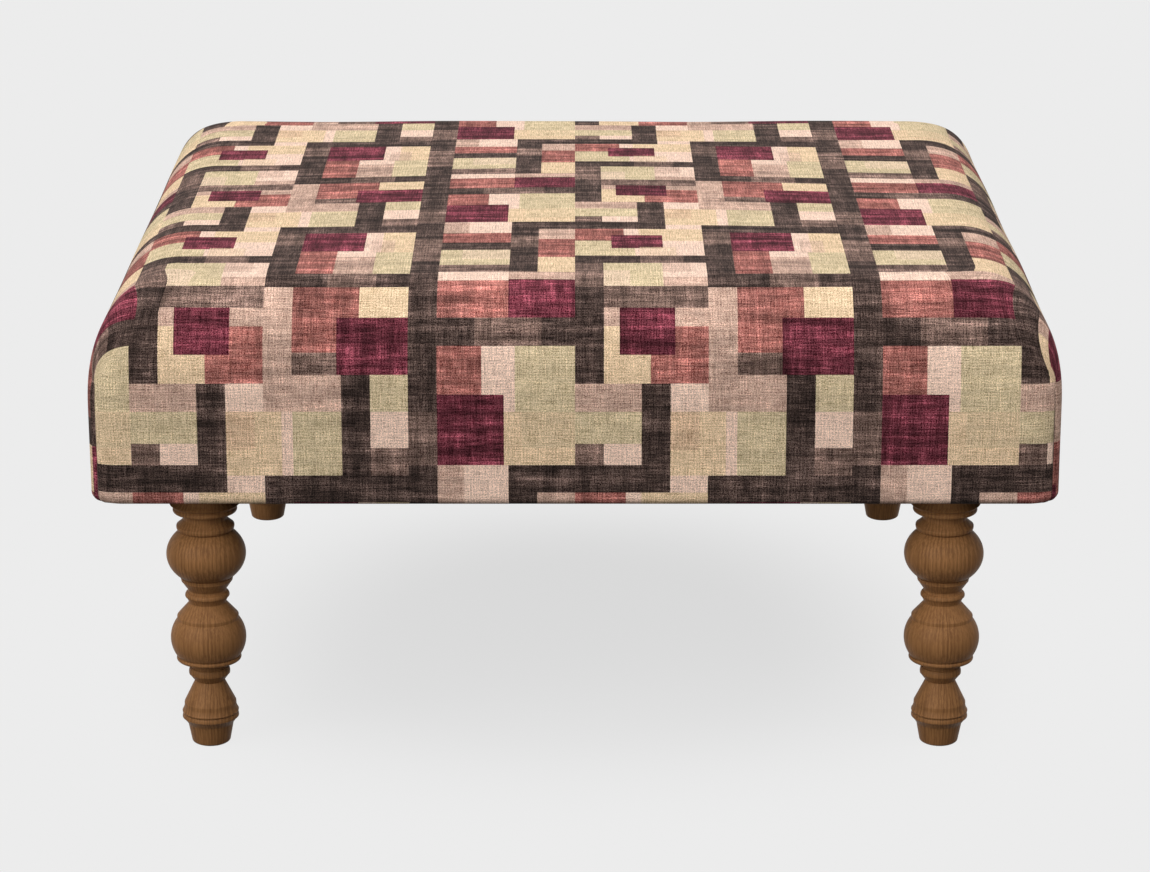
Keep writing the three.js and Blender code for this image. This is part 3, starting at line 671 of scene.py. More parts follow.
def leg_members():
    """The leg's mouldings from the floor up, each as points of radius and height in millimetres."""
    return [
        taper(0, 15.2, 0),
        taper(15.2, 17.9, 2.2, 3, -0.5),
        taper(17.9, 21.1, 16.8, 3),
        taper(21.1, 26.0, 6.5, 4, 0.3),
        swelling(24.7, 26.3, 4.2, 8, 0, 1),
        swelling(24.7, 26.3, 2.0, 5, -1, 0.1),
        taper(26.2, 24.2, 5.2, 5, 0.3),
        taper(24.2, 24.1, 3.3),
        taper(24.1, 13.8, 21.0, 6),
        taper(13.6, 18.8, 6.9, 5, -0.1),
        swelling(17.2, 19.2, 6.4, 8, -0.35, 1),
        taper(16.6, 16.6, 7.2),
        swelling(27.6, 30.1, 4.8, 8),
        swelling(0, 35.0, 35.6, 28, -0.546, 0.577),
        taper(28.5, 28.5, 3.2),
        taper(28.5, 27.9, 0.8),
        taper(27.9, 17.4, 11.8, 2),
        taper(17.2, 17.2, 1.0),
        taper(17.4, 20.0, 5.2, 4, 0.2),
        swelling(17.6, 20.6, 4.4, 8, -0.3, 1),
        taper(17.6, 17.6, 2.3),
        taper(17.6, 23.5, 8.6, 4),
        taper(23.7, 24.6, 3.6, 3, 0.2),
        swelling(0, 36.75, 45.5, 34, -0.77, 0.776),
        swelling(24.6, 26.8, 5.2, 8, -1, 0.45),
        taper(26.3, 20.4, 5.4, 3, 0.2),
        taper(20.2, 20.2, 7.3),
        swelling(28.2, 29.7, 4.3, 8),
        taper(29.0, 32.4, 3.6, 6, 0.9),
        taper(32.4, 26.6, 4.8, 6, 1.2),
        taper(26.6, 26.6, 9.1),
        taper(26.6, BORE_RADIUS / MM, 0),
    ]


def leg_profile():
    """The members stacked up, stretched to the leg's height, with every edge eased.

    Each point is replaced by one before it, one after it and one drawn in between them.
    """
    level, pieces = 0.0, []
    for points in leg_members():
        pieces.append(points + [0, level])
        level += points[-1, 1]
    profile = np.concatenate(pieces) * MM
    profile[:, 1] *= LEG_TOP / (level * MM)
    gaps = np.linalg.norm(np.diff(profile, axis=0), axis=1)
    profile = profile[np.concatenate([[True], gaps > LEAST_STEP])]
    step = np.diff(profile, axis=0)
    size = np.linalg.norm(step, axis=1)
    middle = profile[1:-1]
    back = np.minimum(EDGE_SOFTNESS, EDGE_SHARE * size[:-1])[:, None]
    ahead = np.minimum(EDGE_SOFTNESS, EDGE_SHARE * size[1:])[:, None]
    before = middle - step[:-1] / size[:-1, None] * back
    after = middle + step[1:] / size[1:, None] * ahead
    eased = (before + 2 * middle + after) / 4
    soft = np.stack([before, eased, after], axis=1).reshape(-1, 2)
    return np.concatenate([profile[:1], soft, profile[-1:]])


def turned(profile, sides, centre):
    """A lathe's rings: (r cos t, r sin t, z) round a centre line at (x, y)."""
    angle = np.linspace(0, 2 * math.pi, sides, endpoint=False)
    radius, height = profile[:, 0, None], profile[:, 1, None]
    x = centre[0] + radius * np.cos(angle)
    y = centre[1] + radius * np.sin(angle)
    return np.stack([x, y, np.broadcast_to(height, x.shape)], axis=-1)


def build_leg(corner, turn, material):
    """A turned leg with its blind bore.

    Its own coordinates are kept for the grain. They are drawn part of the way to one even radius,
    so that the lines follow the turning.
    """
    bore_end = LEG_TOP - BORE_DEPTH
    profile = np.concatenate([leg_profile()[1:], [[BORE_RADIUS, bore_end]]])
    low, high = box(f"leg_{corner}")
    place = (low + high)[:2] / 2
    grid = turned(profile, LEG_SIDES, place)
    points, faces = closed_grid(grid, [*place, 0], [*place, bore_end])
    piece = make_object(f"turned_leg_{corner}", points, faces, material)
    local = points - [*place, 0]
    radius = np.maximum(np.hypot(local[:, 0], local[:, 1]), LEAST_RADIUS)[:, None]
    local[:, :2] *= 1 - FOLLOW + FOLLOW * EVEN_RADIUS / radius
    cosine, sine = math.cos(turn), math.sin(turn)
    local[:, :2] = local[:, :2] @ [[cosine, sine], [-sine, cosine]]
    local[:, 2] += turn * TURN_SHIFT
    grain = piece.data.attributes.new("grain", "FLOAT_VECTOR", "POINT")
    grain.data.foreach_set("vector", local.astype(np.float32).reshape(-1))
    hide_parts(f"leg_{corner}")


# Node helpers

# Places of a Mix node's colour sockets, as it has a set of sockets for each kind of value
MIX_FIRST, MIX_SECOND, MIX_RESULT = 6, 7, 2


class Nodes:
    """Adds shader nodes to one material or world and links them by plain calls."""

    def __init__(self, owner, shader="ShaderNodeBsdfPrincipled", output="ShaderNodeOutputMaterial"):
        """Starts the owner's nodes with one shader and its output."""
        owner.use_nodes = True
        self.owner = owner
        self.tree = owner.node_tree
        self.tree.nodes.clear()
        self.output = self.add(output)
        self.shader = self.add(shader)
        self.fill(self.output, Surface=self.shader.outputs[0])

    def add(self, kind, **values):
        """A node of a kind, with its own properties set."""
        node = self.tree.nodes.new(kind)
        for key, value in values.items():
            setattr(node, key, value)
        return node

    def join(self, source, target):
        """Links an output to an input, or sets the input to a plain value."""
        if isinstance(source, bpy.types.NodeSocket):
            self.tree.links.new(source, target)
        else:
            target.default_value = source

    def fill(self, node, **values):
        """Joins or sets a node's inputs by name, with underscores for spaces."""
        for key, value in values.items():
            self.join(value, node.inputs[key.replace("_", " ")])
        return node

    def set(self, **values):
        """Joins or sets the shader's inputs by name."""
        self.fill(self.shader, **values)

    def place(self):
        """The place on the object, in metres."""
        return self.add("ShaderNodeTexCoord").outputs["Object"]

    def parts(self, vector):
        """The X, Y and Z of a vector."""
        return self.fill(self.add("ShaderNodeSeparateXYZ"), Vector=vector).outputs

    def math(self, operation, *values):
        """One Math node."""
        node = self.add("ShaderNodeMath", operation=operation)
        for value, socket in zip(values, node.inputs):
            self.join(value, socket)
        return node.outputs[0]

    def mix(self, share, first, second, blend="MIX"):
        """One colour mix."""
        node = self.add("ShaderNodeMix", data_type="RGBA", blend_type=blend)
        self.join(share, node.inputs["Factor"])
        self.join(first, node.inputs[MIX_FIRST])
        self.join(second, node.inputs[MIX_SECOND])
        return node.outputs[MIX_RESULT]

    def moved(self, vector, scale, shift=(0, 0, 0), turn=(0, 0, 0)):
        """One Mapping node."""
        node = self.add("ShaderNodeMapping")
        return self.fill(node, Vector=vector, Location=shift, Rotation=turn, Scale=scale).outputs[0]

    def noise(self, vector, scale, detail, rough, distortion=0.0, shift=(0, 0, 0)):
        """A noise value from 0 to 1, whose scale is in cells a metre along each axis."""
        node = self.add("ShaderNodeTexNoise")
        where = self.moved(vector, scale, shift)
        self.fill(node, Vector=where, Scale=1.0, Detail=detail, Roughness=rough, Distortion=distortion)
        return node.outputs[0]

    def ramp(self, value, low, high, from_low=0.0, from_high=1.0, course="LINEAR"):
        """Maps a value's range to another, and clips it."""
        node = self.add("ShaderNodeMapRange", clamp=True, interpolation_type=course)
        self.fill(node, Value=value, From_Min=from_low, From_Max=from_high, To_Min=low, To_Max=high)
        return node.outputs[0]

    def bump(self, height, strength, distance):
        """Sends a height to the shader's normal."""
        node = self.fill(
            self.add("ShaderNodeBump"), Height=height, Strength=strength, Distance=distance
        )
        self.set(Normal=node.outputs[0])

    def seen(self):
        """1 for a ray that the camera, a shiny surface or a clear one sends, and 0 for others."""
        path = self.add("ShaderNodeLightPath")
        share = path.outputs["Is Camera Ray"]
        for kind in ("Is Glossy Ray", "Is Transmission Ray"):
            share = self.math("MAXIMUM", share, path.outputs[kind])
        return share

    def overlay(self, share, other):
        """Lays a share of another shader over the first one."""
        both = self.add("ShaderNodeMixShader")
        for value, socket in zip((share, self.shader.outputs[0], other.outputs[0]), both.inputs):
            self.join(value, socket)
        self.fill(self.output, Surface=both.outputs[0])


# Print of the cover

# Width and height of the repeat, and where its lower left corner lies on the flat print
REPEAT = (400 * MM, 380 * MM)
SHIFT = (0, -95 * MM)

# Blocks of the print in the order they are laid down: ink, left, bottom, width and height in
# millimetres from the repeat's lower left corner
BLOCKS = (
    ("blush", 26, 26, 94, 158),
    ("sand", 26, 26, 42, 52),
    ("rust", 68, 26, 52, 52),
    ("wine", 40, 52, 50, 44),
    ("sage", 26, 122, 54, 62),
    ("cream", 80, 138, 40, 46),
    ("rust", 146, 146, 34, 80),
    ("blush", 180, 146, 36, 60),
    ("sage", 216, 146, 34, 76),
    ("wine", 146, 226, 58, 68),
    ("sand", 220, 222, 30, 72),
    ("rust", 276, 86, 64, 44),
    ("cream", 276, 130, 64, 20),
    ("sage", 276, 176, 64, 54),
    ("blush", 340, 86, 60, 64),
    ("wine", 340, 86, 60, 46),
    ("sand", 366, 150, 34, 54),
    ("rust", 366, 204, 34, 64),
    ("blush", 366, 268, 34, 36),
    ("sage", 0, 210, 56, 52),
    ("cream", 56, 210, 64, 52),
    ("rust", 0, 262, 46, 42),
    ("sand", 60, 262, 60, 42),
    ("wine", 34, 236, 48, 46),
    ("sand", 86, 320, 50, 60),
    ("cream", 86, 0, 34, 26),
    ("blush", 120, 0, 26, 120),
    ("sage", 146, 320, 44, 60),
    ("blush", 146, 0, 104, 34),
    ("rust", 146, 54, 60, 66),
    ("wine", 186, 34, 64, 52),
    ("sand", 206, 86, 44, 34),
    ("sage", 216, 0, 34, 34),
    ("cream", 216, 346, 34, 34),
    ("blush", 276, 256, 64, 74),
    ("cream", 300, 276, 40, 54),
    ("rust", 276, 256, 64, 34),
    ("wine", 276, 330, 60, 50),
    ("wine", 276, 0, 60, 16),
    ("rust", 276, 16, 40, 44),
    ("sand", 336, 330, 64, 50),
    ("sage", 346, 0, 54, 60),
    ("sage", 0, 350, 60, 30),
    ("blush", 0, 0, 60, 26),
    ("dark", 0, 26, 26, 184),
    ("dark", 26, 184, 120, 26),
    ("dark", 120, 120, 26, 64),
    ("dark", 120, 210, 26, 110),
    ("dark", 146, 120, 104, 26),
    ("dark", 250, 0, 26, 190),
    ("dark", 250, 268, 26, 112),
    ("dark", 146, 294, 104, 26),
    ("dark", 276, 60, 124, 26),
    ("dark", 340, 150, 26, 180),
    ("dark", 276, 230, 64, 26),
    ("dark", 366, 304, 34, 26),
    ("dark", 0, 304, 86, 26),
    ("dark", 60, 330, 26, 50),
    ("dark", 60, 0, 26, 26),
    ("dark", 190, 320, 26, 60),
    ("dark", 190, 0, 26, 34),
    ("umber", 26, 96, 94, 26),
    ("umber", 276, 150, 64, 26),
    ("umber", 146, 34, 40, 20),
    ("umber", 250, 190, 26, 78),
    ("umber", 216, 320, 34, 26),
    ("umber", 0, 330, 26, 20),
    ("umber", 60, 184, 40, 26),
    ("umber", 176, 120, 44, 26),
    ("umber", 340, 240, 26, 40),
)

# Thinner inks over them: as above, and how solid the ink is
VEILS = (
    ("umber", 0, 120, 26, 64, 0.8),
    ("umber", 120, 250, 26, 44, 0.8),
    ("umber", 310, 60, 60, 26, 0.8),
    ("umber", 250, 330, 26, 50, 0.8),
    ("umber", 180, 160, 36, 30, 0.3),
    ("rust", 86, 344, 26, 36, 0.22),
    ("cream", 26, 122, 24, 36, 0.45),
    ("sage", 352, 346, 48, 34, 0.4),
    ("umber", 124, 20, 22, 50, 0.25),
    ("blush", 210, 222, 22, 44, 0.5),
    ("cream", 296, 196, 44, 34, 0.35),
    ("dark", 146, 86, 34, 34, 0.18),
    ("blush", 80, 152, 26, 32, 0.55),
    ("sand", 60, 210, 34, 30, 0.5),
    ("dark", 276, 86, 28, 24, 0.2),
)


def printed_ink(nodes, chart, cloth, wobble):
    """The print's ink: each block is laid where both distances from its middle are small enough."""
    places = []
    for value, repeat, shift in zip(nodes.parts(chart), REPEAT, SHIFT):
        wrapped = nodes.math("WRAP", nodes.math("ADD", value, wobble), repeat + shift, shift)
        places.append(nodes.math("MULTIPLY", nodes.math("SUBTRACT", wrapped, shift), 1 / MM))
    across, along = places
    ink = cloth.cream
    for name, left, bottom, width, height, *solid in BLOCKS + VEILS:
        share = nodes.math(
            "MULTIPLY",
            nodes.math("COMPARE", across, left + width / 2, width / 2),
            nodes.math("COMPARE", along, bottom + height / 2, height / 2),
        )
        if solid:
            share = nodes.math("MULTIPLY", share, *solid)
        ink = nodes.mix(share, ink, getattr(cloth, name))
    return ink


def streaks(nodes, chart, across, along, shift, detail=2, rough=0.6):
    """Noise from -0.5 to 0.5, drawn out: each streak is along long in x and across wide in y."""
    value = nodes.noise(chart, (1 / along, 1 / across, 1), detail, rough, shift=shift)
    return nodes.math("SUBTRACT", value, 0.5)


def threads(nodes, chart, across, along, shift):
    """Unevenness of threads both ways: streaks along x and streaks along y."""
    weft = streaks(nodes, chart, across, along, shift)
    warp = streaks(nodes, chart, along, across, shift[::-1])
    return nodes.math("ADD", weft, warp)


def weave_waves(nodes, place, pitch, shape):
    """A weave's rows and columns: the sine or cosine of 2 pi x / pitch and of 2 pi y / pitch."""
    return [
        nodes.math(shape, nodes.math("MULTIPLY", value, 2 * math.pi / pitch))
        for value in nodes.parts(place)[:2]
    ]


def total(nodes, *weighted):
    """The sum of values times their weights."""
    level, *terms = [nodes.math("MULTIPLY", value, weight) for value, weight in weighted]
    for term in terms:
        level = nodes.math("ADD", level, term)
    return level


def printed_linen(cloth):
    """Plain-woven linen with a block print, whose threads take the dye unevenly.

    With g for 1 - ink / linen and level for a thread's paleness, the colour is ink times
    (1 + level (even + deeper g^2)), and broad brush strokes make it exp(stroke g^2) brighter.
    """
    even, deeper = 0.4, 0.58
    nodes = Nodes(bpy.data.materials.new("printed_linen"))
    chart = nodes.add("ShaderNodeUVMap", uv_map="print").outputs[0]
    thick = cloth.thread_width
    fine = threads(nodes, chart, across=thick, along=1.8 * thick, shift=(3, 7, 0))
    slubs = threads(nodes, chart, across=1.6 * thick, along=22 * thick, shift=(9, 2, 0))
    grid = nodes.math("ADD", *weave_waves(nodes, chart, cloth.weave_pitch, "COSINE"))
    level = total(nodes, (fine, cloth.uptake), (slubs, cloth.slubs), (grid, cloth.weave))
    sideways = streaks(nodes, chart, 13 * MM, 130 * MM, (1, 8, 0), detail=4, rough=0.78)
    upward = streaks(nodes, chart, 100 * MM, 12 * MM, (4, 5, 0), detail=4, rough=0.78)
    stroke = total(nodes, (sideways, cloth.mottle), (upward, 0.6 * cloth.mottle))

    edge_wobble = nodes.math("MULTIPLY", fine, 0.7 * MM)
    ink = printed_ink(nodes, chart, cloth, edge_wobble)
    gap = nodes.mix(1.0, (1, 1, 1, 1), nodes.mix(1.0, ink, cloth.linen, "DIVIDE"), "SUBTRACT")
    squared_gap = nodes.mix(1.0, gap, gap, "MULTIPLY")
    bare = nodes.mix(deeper, (1 + even, 1 + even, 1 + even, 1), squared_gap, "ADD")
    paler = nodes.mix(cloth.bleed, nodes.mix(1.0, ink, bare, "MULTIPLY"), cloth.linen)
    dyed = nodes.mix(level, ink, paler)
    dyed.node.clamp_factor = False
    grey = nodes.fill(nodes.add("ShaderNodeRGBToBW"), Color=ink).outputs[0]
    depth = nodes.math("MULTIPLY_ADD", grey, -1 / brightness(cloth.linen), 1.0)
    depth = nodes.math("MULTIPLY", depth, depth)
    faded = nodes.math("EXPONENT", nodes.math("MULTIPLY", stroke, depth))
    nodes.set(Base_Color=nodes.mix(1.0, dyed, faded, "MULTIPLY"))
    nodes.set(Roughness=0.95, Specular_IOR_Level=0.07, Sheen_Weight=0.02, Sheen_Roughness=0.5)
    nodes.bump(nodes.math("ADD", fine, slubs), strength=0.35, distance=0.3 * MM)
    return nodes.owner


def brightness(tone):
    """How bright the eye sees a linear colour."""
    return 0.2126 * tone[0] + 0.7152 * tone[1] + 0.0722 * tone[2]


# Woods


def turned_wood(wood):
    """Stained wood with growth rings cut lengthways into fine lines, pores and a satin finish.

    Painted light and shade: the colour is darker towards the foot and lighter towards the top, so the
    upper leg looks less shaded by the seat.
    """
    painted_shade_at_foot, painted_light_at_top = 0.82, 1.12
    nodes = Nodes(bpy.data.materials.new("stained_wood"))
    grain = nodes.add("ShaderNodeAttribute", attribute_name="grain").outputs["Vector"]
    patches = nodes.noise(grain, (45, 45, 9), detail=2, rough=0.5)
    fibre = nodes.noise(grain, (760, 760, 16), detail=3, rough=0.6)
    pores = nodes.noise(grain, (1900, 1900, 60), detail=2, rough=0.6)
    lines = nodes.fill(
        nodes.add("ShaderNodeTexWave", wave_type="BANDS", bands_direction="X"),
        Vector=nodes.moved(grain, (1, 1, 0.07), turn=(0, 0.02, 0)),
        Scale=96,
        Distortion=6.5,
        Detail=3,
        Detail_Scale=2.2,
        Detail_Roughness=0.65,
    )
    late = nodes.math(
        "MULTIPLY",
        nodes.ramp(lines.outputs[1], 0.0, 0.56, 0.3, 1.0),
        nodes.ramp(patches, 0.2, 1.0, 0.38, 0.6),
    )
    tone = nodes.mix(nodes.ramp(fibre, 0.0, 0.9, 0.38, 0.62), wood.middle, wood.light)
    tone = nodes.mix(late, tone, wood.deep)
    tone = nodes.mix(nodes.ramp(pores, 0.45, 0.0, 0.3, 0.46), tone, wood.deep)
    # Painted light and shade by height: a ramp from painted shade at the foot to painted light at the
    # leg's top multiplies the wood's colour.
    height = nodes.parts(nodes.place())["Z"]
    stain = nodes.ramp(height, painted_shade_at_foot, painted_light_at_top, 0.0, LEG_TOP)
    nodes.set(Base_Color=nodes.mix(1.0, tone, stain, "MULTIPLY"))
    nodes.set(Roughness=nodes.ramp(fibre, 0.5, 0.4), Specular_IOR_Level=0.06)
    relief = total(nodes, (pores, 1.0), (fibre, 0.8))
    nodes.bump(relief, strength=0.22, distance=0.12 * MM)
    return nodes.owner


def board_wood(name, pale, deep, along):
    """Planed, unstained board: long streaks of late wood along one axis, and fine pores."""
    nodes = Nodes(bpy.data.materials.new(name))
    place = nodes.place()
    stretch = np.where(np.arange(3) == along, 0.05, 1.0)
    streak = nodes.noise(place, 62 * stretch, detail=4, rough=0.6, distortion=0.8)
    pores = nodes.noise(place, 900 * stretch, detail=2, rough=0.6)
    tone = nodes.mix(nodes.ramp(streak, 0.0, 0.85, 0.42, 0.66), pale, deep)
    tone = nodes.mix(nodes.ramp(pores, 0.3, 0.0, 0.3, 0.5), tone, deep)
    nodes.set(Base_Color=tone, Roughness=nodes.ramp(streak, 0.68, 0.58))
    nodes.bump(nodes.math("ADD", streak, pores), strength=0.2, distance=0.2 * MM)
    return nodes.owner


# Cloths, foam and metal


def woven(name, pale, deep, pitch, strength):
    """Plain weave: crossed rows of threads with fibre noise over them."""
    nodes = Nodes(bpy.data.materials.new(name))
    place = nodes.place()
    waves = nodes.math("MULTIPLY", *weave_waves(nodes, place, pitch, "SINE"))
    cross = nodes.ramp(waves, 0.0, 1.0, -1.0, 1.0)
    fibre = nodes.noise(place, (1300, 1300, 1300), detail=2, rough=0.6)
    cloud = nodes.noise(place, (26, 26, 26), detail=3, rough=0.6)
    relief = nodes.math("ADD", cross, fibre)
    share = nodes.math("MULTIPLY", relief, nodes.ramp(cloud, 0.35, 0.65))
    nodes.set(Base_Color=nodes.mix(share, deep, pale))
    nodes.set(Roughness=0.9, Specular_IOR_Level=0.2, Sheen_Weight=0.1)
    nodes.bump(relief, strength=strength, distance=0.3 * MM)
    return nodes.owner


def fluffy(name, pale, deep, size, distance):
    """Open cells or fibres of a size: cloudy noise in colour and relief."""
    nodes = Nodes(bpy.data.materials.new(name))
    place = nodes.place()
    cells = nodes.noise(place, (1 / size,) * 3, detail=4, rough=0.65)
    cloud = nodes.noise(place, (14, 14, 14), detail=2, rough=0.5)
    share = nodes.math("MULTIPLY", nodes.ramp(cells, 0.0, 1.0, 0.3, 0.7), nodes.ramp(cloud, 0.5, 1.0))
    nodes.set(Base_Color=nodes.mix(share, deep, pale))
    nodes.set(Roughness=0.95, Specular_IOR_Level=0.15, Sheen_Weight=0.15)
    nodes.bump(cells, strength=0.5, distance=distance)
    return nodes.owner


def zinc():
    """Zinc-plated steel with faint cloudy tarnish and drawn scratches."""
    dull, bright = (0.42, 0.43, 0.43, 1), (0.66, 0.67, 0.66, 1)
    nodes = Nodes(bpy.data.materials.new("zinc_plate"))
    place = nodes.place()
    cloud = nodes.noise(place, (90, 90, 90), detail=3, rough=0.6)
    scratch = nodes.noise(place, (2400, 2400, 160), detail=2, rough=0.6)
    nodes.set(Base_Color=nodes.mix(nodes.ramp(cloud, 0, 1, 0.3, 0.7), dull, bright))
    nodes.set(Roughness=nodes.ramp(cloud, 0.28, 0.46), Metallic=1.0)
    nodes.bump(scratch, strength=0.15, distance=0.05 * MM)
    return nodes.owner


# Stage

# The camera's sensor in millimetres, and how far it sees in metres
SENSOR_WIDTH = 36
FARTHEST = 200


def build_camera(stage):
    """The camera that the photograph's perspective gives, with no shift and no depth of field."""
    data = bpy.data.cameras.new("camera")
    data.sensor_fit = "HORIZONTAL"
    data.sensor_width = SENSOR_WIDTH
    data.lens = stage.focal
    data.clip_end = FARTHEST
    camera = bpy.data.objects.new("camera", data)
    camera.location = (0, FRONT_LEG_Y - stage.camera_back, stage.camera_height)
    camera.rotation_euler = (math.pi / 2 - stage.pitch, 0, 0)
    bpy.context.scene.collection.objects.link(camera)
    bpy.context.scene.camera = camera


def build_floor(stage):
    """A plain pale floor that shows the camera partly its own light, and all of it far out.

    So the stool's shadow is soft and pale, and fades out round it. The distance is that of an
    ellipse: the length of (x / a, y / b).
    """
    size = stage.floor_size
    mesh = bpy.data.meshes.new("floor")
    corners = [(-size, -size, 0), (size, -size, 0), (size, size, 0), (-size, size, 0)]
    mesh.from_pydata(corners, [], [(0, 1, 2, 3)])
    floor = bpy.data.objects.new("floor", mesh)
    bpy.context.scene.collection.objects.link(floor)
    nodes = Nodes(bpy.data.materials.new("floor"))
    seen = nodes.seen()
    nodes.set(Base_Color=nodes.mix(seen, stage.bounce, stage.ground))
    nodes.set(Roughness=1.0, Specular_IOR_Level=0.0)
    scale = [1 / reach for reach in stage.shadow_reach]
    ahead = (0, stage.shadow_middle * scale[1], 0)
    off = nodes.add("ShaderNodeVectorMath", operation="LENGTH")
    nodes.fill(off, Vector=nodes.moved(nodes.place(), scale, ahead))
    lift = nodes.ramp(
        off.outputs["Value"], stage.shadow_lift, 1.0, stage.shadow_core, 1.0, course="SMOOTHSTEP"
    )
    glow = nodes.fill(nodes.add("ShaderNodeEmission"), Color=stage.floor)
    nodes.overlay(nodes.math("MULTIPLY", seen, lift), glow)
    mesh.materials.append(nodes.owner)


def build_world(stage):
    """Even light from all round, which the camera and shiny surfaces see in the floor's colour."""
    nodes = Nodes(bpy.data.worlds.new("studio"), "ShaderNodeBackground", "ShaderNodeOutputWorld")
    nodes.set(Color=(1, 1, 1, 1), Strength=stage.ambient)
    backdrop = nodes.fill(nodes.add("ShaderNodeBackground"), Color=stage.floor, Strength=1.0)
    nodes.overlay(nodes.seen(), backdrop)
    bpy.context.scene.world = nodes.owner


def build_light(name, strength, place, spread):
    """One wide, soft light from far away."""
    data = bpy.data.lights.new(name, "SUN")
    data.energy = strength
    data.angle = math.radians(spread)
    lamp = bpy.data.objects.new(name, data)
    lamp.rotation_euler = Vector(place).to_track_quat("Z", "Y").to_euler()
    bpy.context.scene.collection.objects.link(lamp)


# Operators


class FOOTSTOOL_OT_cover(bpy.types.Operator):
    """Build the sewn, printed cover."""

    bl_idname = "footstool.cover"
    bl_label = "Printed cover"

    def execute(self, context):
        scene = context.scene
        piece = build_cover(scene.footstool_cover, printed_linen(scene.footstool_cloth))
        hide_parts("fabric_cover")
        return {"FINISHED"}


class FOOTSTOOL_OT_padding(bpy.types.Operator):
    """Build the foam block and the wadding."""

    bl_idname = "footstool.padding"
    bl_label = "Foam and wadding"

    def execute(self, context):
        """Makes the layers under the cover."""
        cover = context.scene.footstool_cover
        cream, buff = (0.83, 0.74, 0.47, 1), (0.66, 0.55, 0.3, 1)
        white, grey = (0.9, 0.89, 0.86, 1), (0.72, 0.7, 0.66, 1)
        foam = fluffy("cream_foam", cream, buff, size=1.1 * MM, distance=0.6 * MM)
        wadding = fluffy("wadding_fibre", white, grey, size=2.4 * MM, distance=1.2 * MM)
        build_foam(cover, foam)
        build_top_wadding(cover, wadding)
        build_side_wadding(wadding)
        return {"FINISHED"}


class FOOTSTOOL_OT_cloths(bpy.types.Operator):
    """Build the dust cover under the frame and the lining over the webbing."""

    bl_idname = "footstool.cloths"
    bl_label = "Dust cover and lining"

    def execute(self, context):
        corner_radius = context.scene.footstool_cover.corner_radius
        charcoal, soot = (0.03, 0.03, 0.032, 1), (0.008, 0.008, 0.009, 1)
        black = woven("black_cambric", charcoal, soot, pitch=1.6 * MM, strength=0.3)
        cloths = {"cambric_dust_cover": "dust_cover", "lining_sheet": "lining_cloth"}
        for name, node in cloths.items():
            low, high = box(node)
            inset = HALF_X - high[0]
            piece = flat_cloth(name, low, high, corner_radius - inset, black)
            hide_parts(node)
        return {"FINISHED"}


class FOOTSTOOL_OT_legs(bpy.types.Operator):
    """Build the four turned legs."""

    bl_idname = "footstool.legs"
    bl_label = "Turned legs"

    def execute(self, context):
        """Makes a leg at each corner, each turned so that its grain differs."""
        material = turned_wood(context.scene.footstool_wood)
        for corner, turn in zip(CORNERS, LEG_TURNS):
            build_leg(corner, turn, material)
        return {"FINISHED"}


class FOOTSTOOL_OT_frame(bpy.types.Operator):
    """Give the frame, webbing and fixings their finishes."""

    bl_idname = "footstool.frame"
    bl_label = "Frame, webbing and fixings"

    def execute(self, context):
        """Sets a material on every solid that stays, by the first start of a name that fits."""
        wood = context.scene.footstool_wood
        pine_x = board_wood("pine_across", wood.pine, wood.pine_deep, 0)
        pine_y = board_wood("pine_along", wood.pine, wood.pine_deep, 1)
        beech = board_wood("beech", wood.beech, wood.pine_deep, 0)
        straw, brown = (0.30, 0.22, 0.13, 1), (0.13, 0.09, 0.05, 1)
        jute = woven("webbing_jute", straw, brown, pitch=3.2 * MM, strength=0.6)
        steel = zinc()
        finishes = {
            "rail_front": pine_x,
            "rail_back": pine_x,
            "rail_": pine_y,
            "centre_": pine_y,
            "corner_block_": beech,
            "webbing_": jute,
            "hanger_bolt_": steel,
            "tee_nut_": steel,
            "block_screw_": steel,
            "stretcher_screw_": steel,
        }
        for name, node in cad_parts.items():
            found = [finish for start, finish in finishes.items() if name.startswith(start)]
            if found:
                node.data.materials.clear()
                node.data.materials.append(found[0])
        return {"FINISHED"}


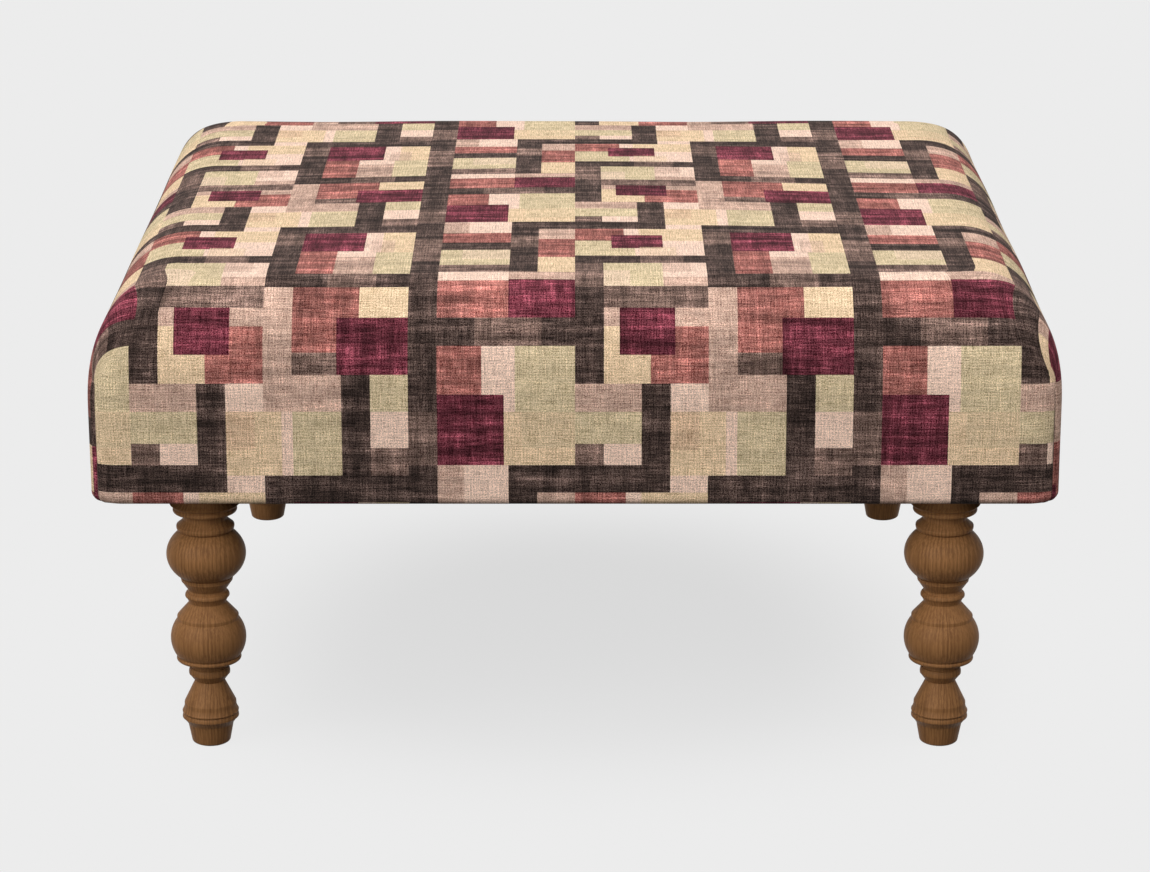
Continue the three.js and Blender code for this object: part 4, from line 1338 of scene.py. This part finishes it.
class FOOTSTOOL_OT_stage(bpy.types.Operator):
    """Set up the camera, light and floor."""

    bl_idname = "footstool.stage"
    bl_label = "Camera, light and floor"

    def execute(self, context):
        """Makes the stage and sets the view transform."""
        stage = context.scene.footstool_stage
        build_camera(stage)
        build_floor(stage)
        build_world(stage)
        build_light("key_light", stage.key, stage.key_from, stage.key_spread)
        build_light("side_light", stage.side, stage.side_from, stage.side_spread)
        context.scene.view_settings.view_transform = "Standard"
        return {"FINISHED"}


OPERATORS = (
    FOOTSTOOL_OT_cover,
    FOOTSTOOL_OT_padding,
    FOOTSTOOL_OT_cloths,
    FOOTSTOOL_OT_legs,
    FOOTSTOOL_OT_frame,
    FOOTSTOOL_OT_stage,
)


class FOOTSTOOL_PT_panel(bpy.types.Panel):
    """Lists the footstool's operators in the sidebar."""

    bl_label = "Footstool"
    bl_idname = "FOOTSTOOL_PT_panel"
    bl_space_type = "VIEW_3D"
    bl_region_type = "UI"
    bl_category = "Footstool"

    def draw(self, context):
        """One button an operator."""
        for operator in OPERATORS:
            self.layout.operator(operator.bl_idname)


GROUPS = {
    "footstool_cover": CoverSizes,
    "footstool_cloth": ClothColours,
    "footstool_wood": WoodColours,
    "footstool_stage": StageSettings,
}


def register():
    """Registers the groups, operators and panel."""
    for name, group in GROUPS.items():
        bpy.utils.register_class(group)
        setattr(bpy.types.Scene, name, bpy.props.PointerProperty(type=group))
    for operator in OPERATORS:
        bpy.utils.register_class(operator)
    bpy.utils.register_class(FOOTSTOOL_PT_panel)


def unregister():
    """Takes them out again."""
    bpy.utils.unregister_class(FOOTSTOOL_PT_panel)
    for operator in reversed(OPERATORS):
        bpy.utils.unregister_class(operator)
    for name, group in reversed(GROUPS.items()):
        delattr(bpy.types.Scene, name)
        bpy.utils.unregister_class(group)


def main():
    """Registers the add-on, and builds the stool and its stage."""
    register()
    bpy.ops.footstool.cover()
    bpy.ops.footstool.padding()
    bpy.ops.footstool.cloths()
    bpy.ops.footstool.legs()
    bpy.ops.footstool.frame()
    bpy.ops.footstool.stage()


if __name__ == "__main__":
    main()
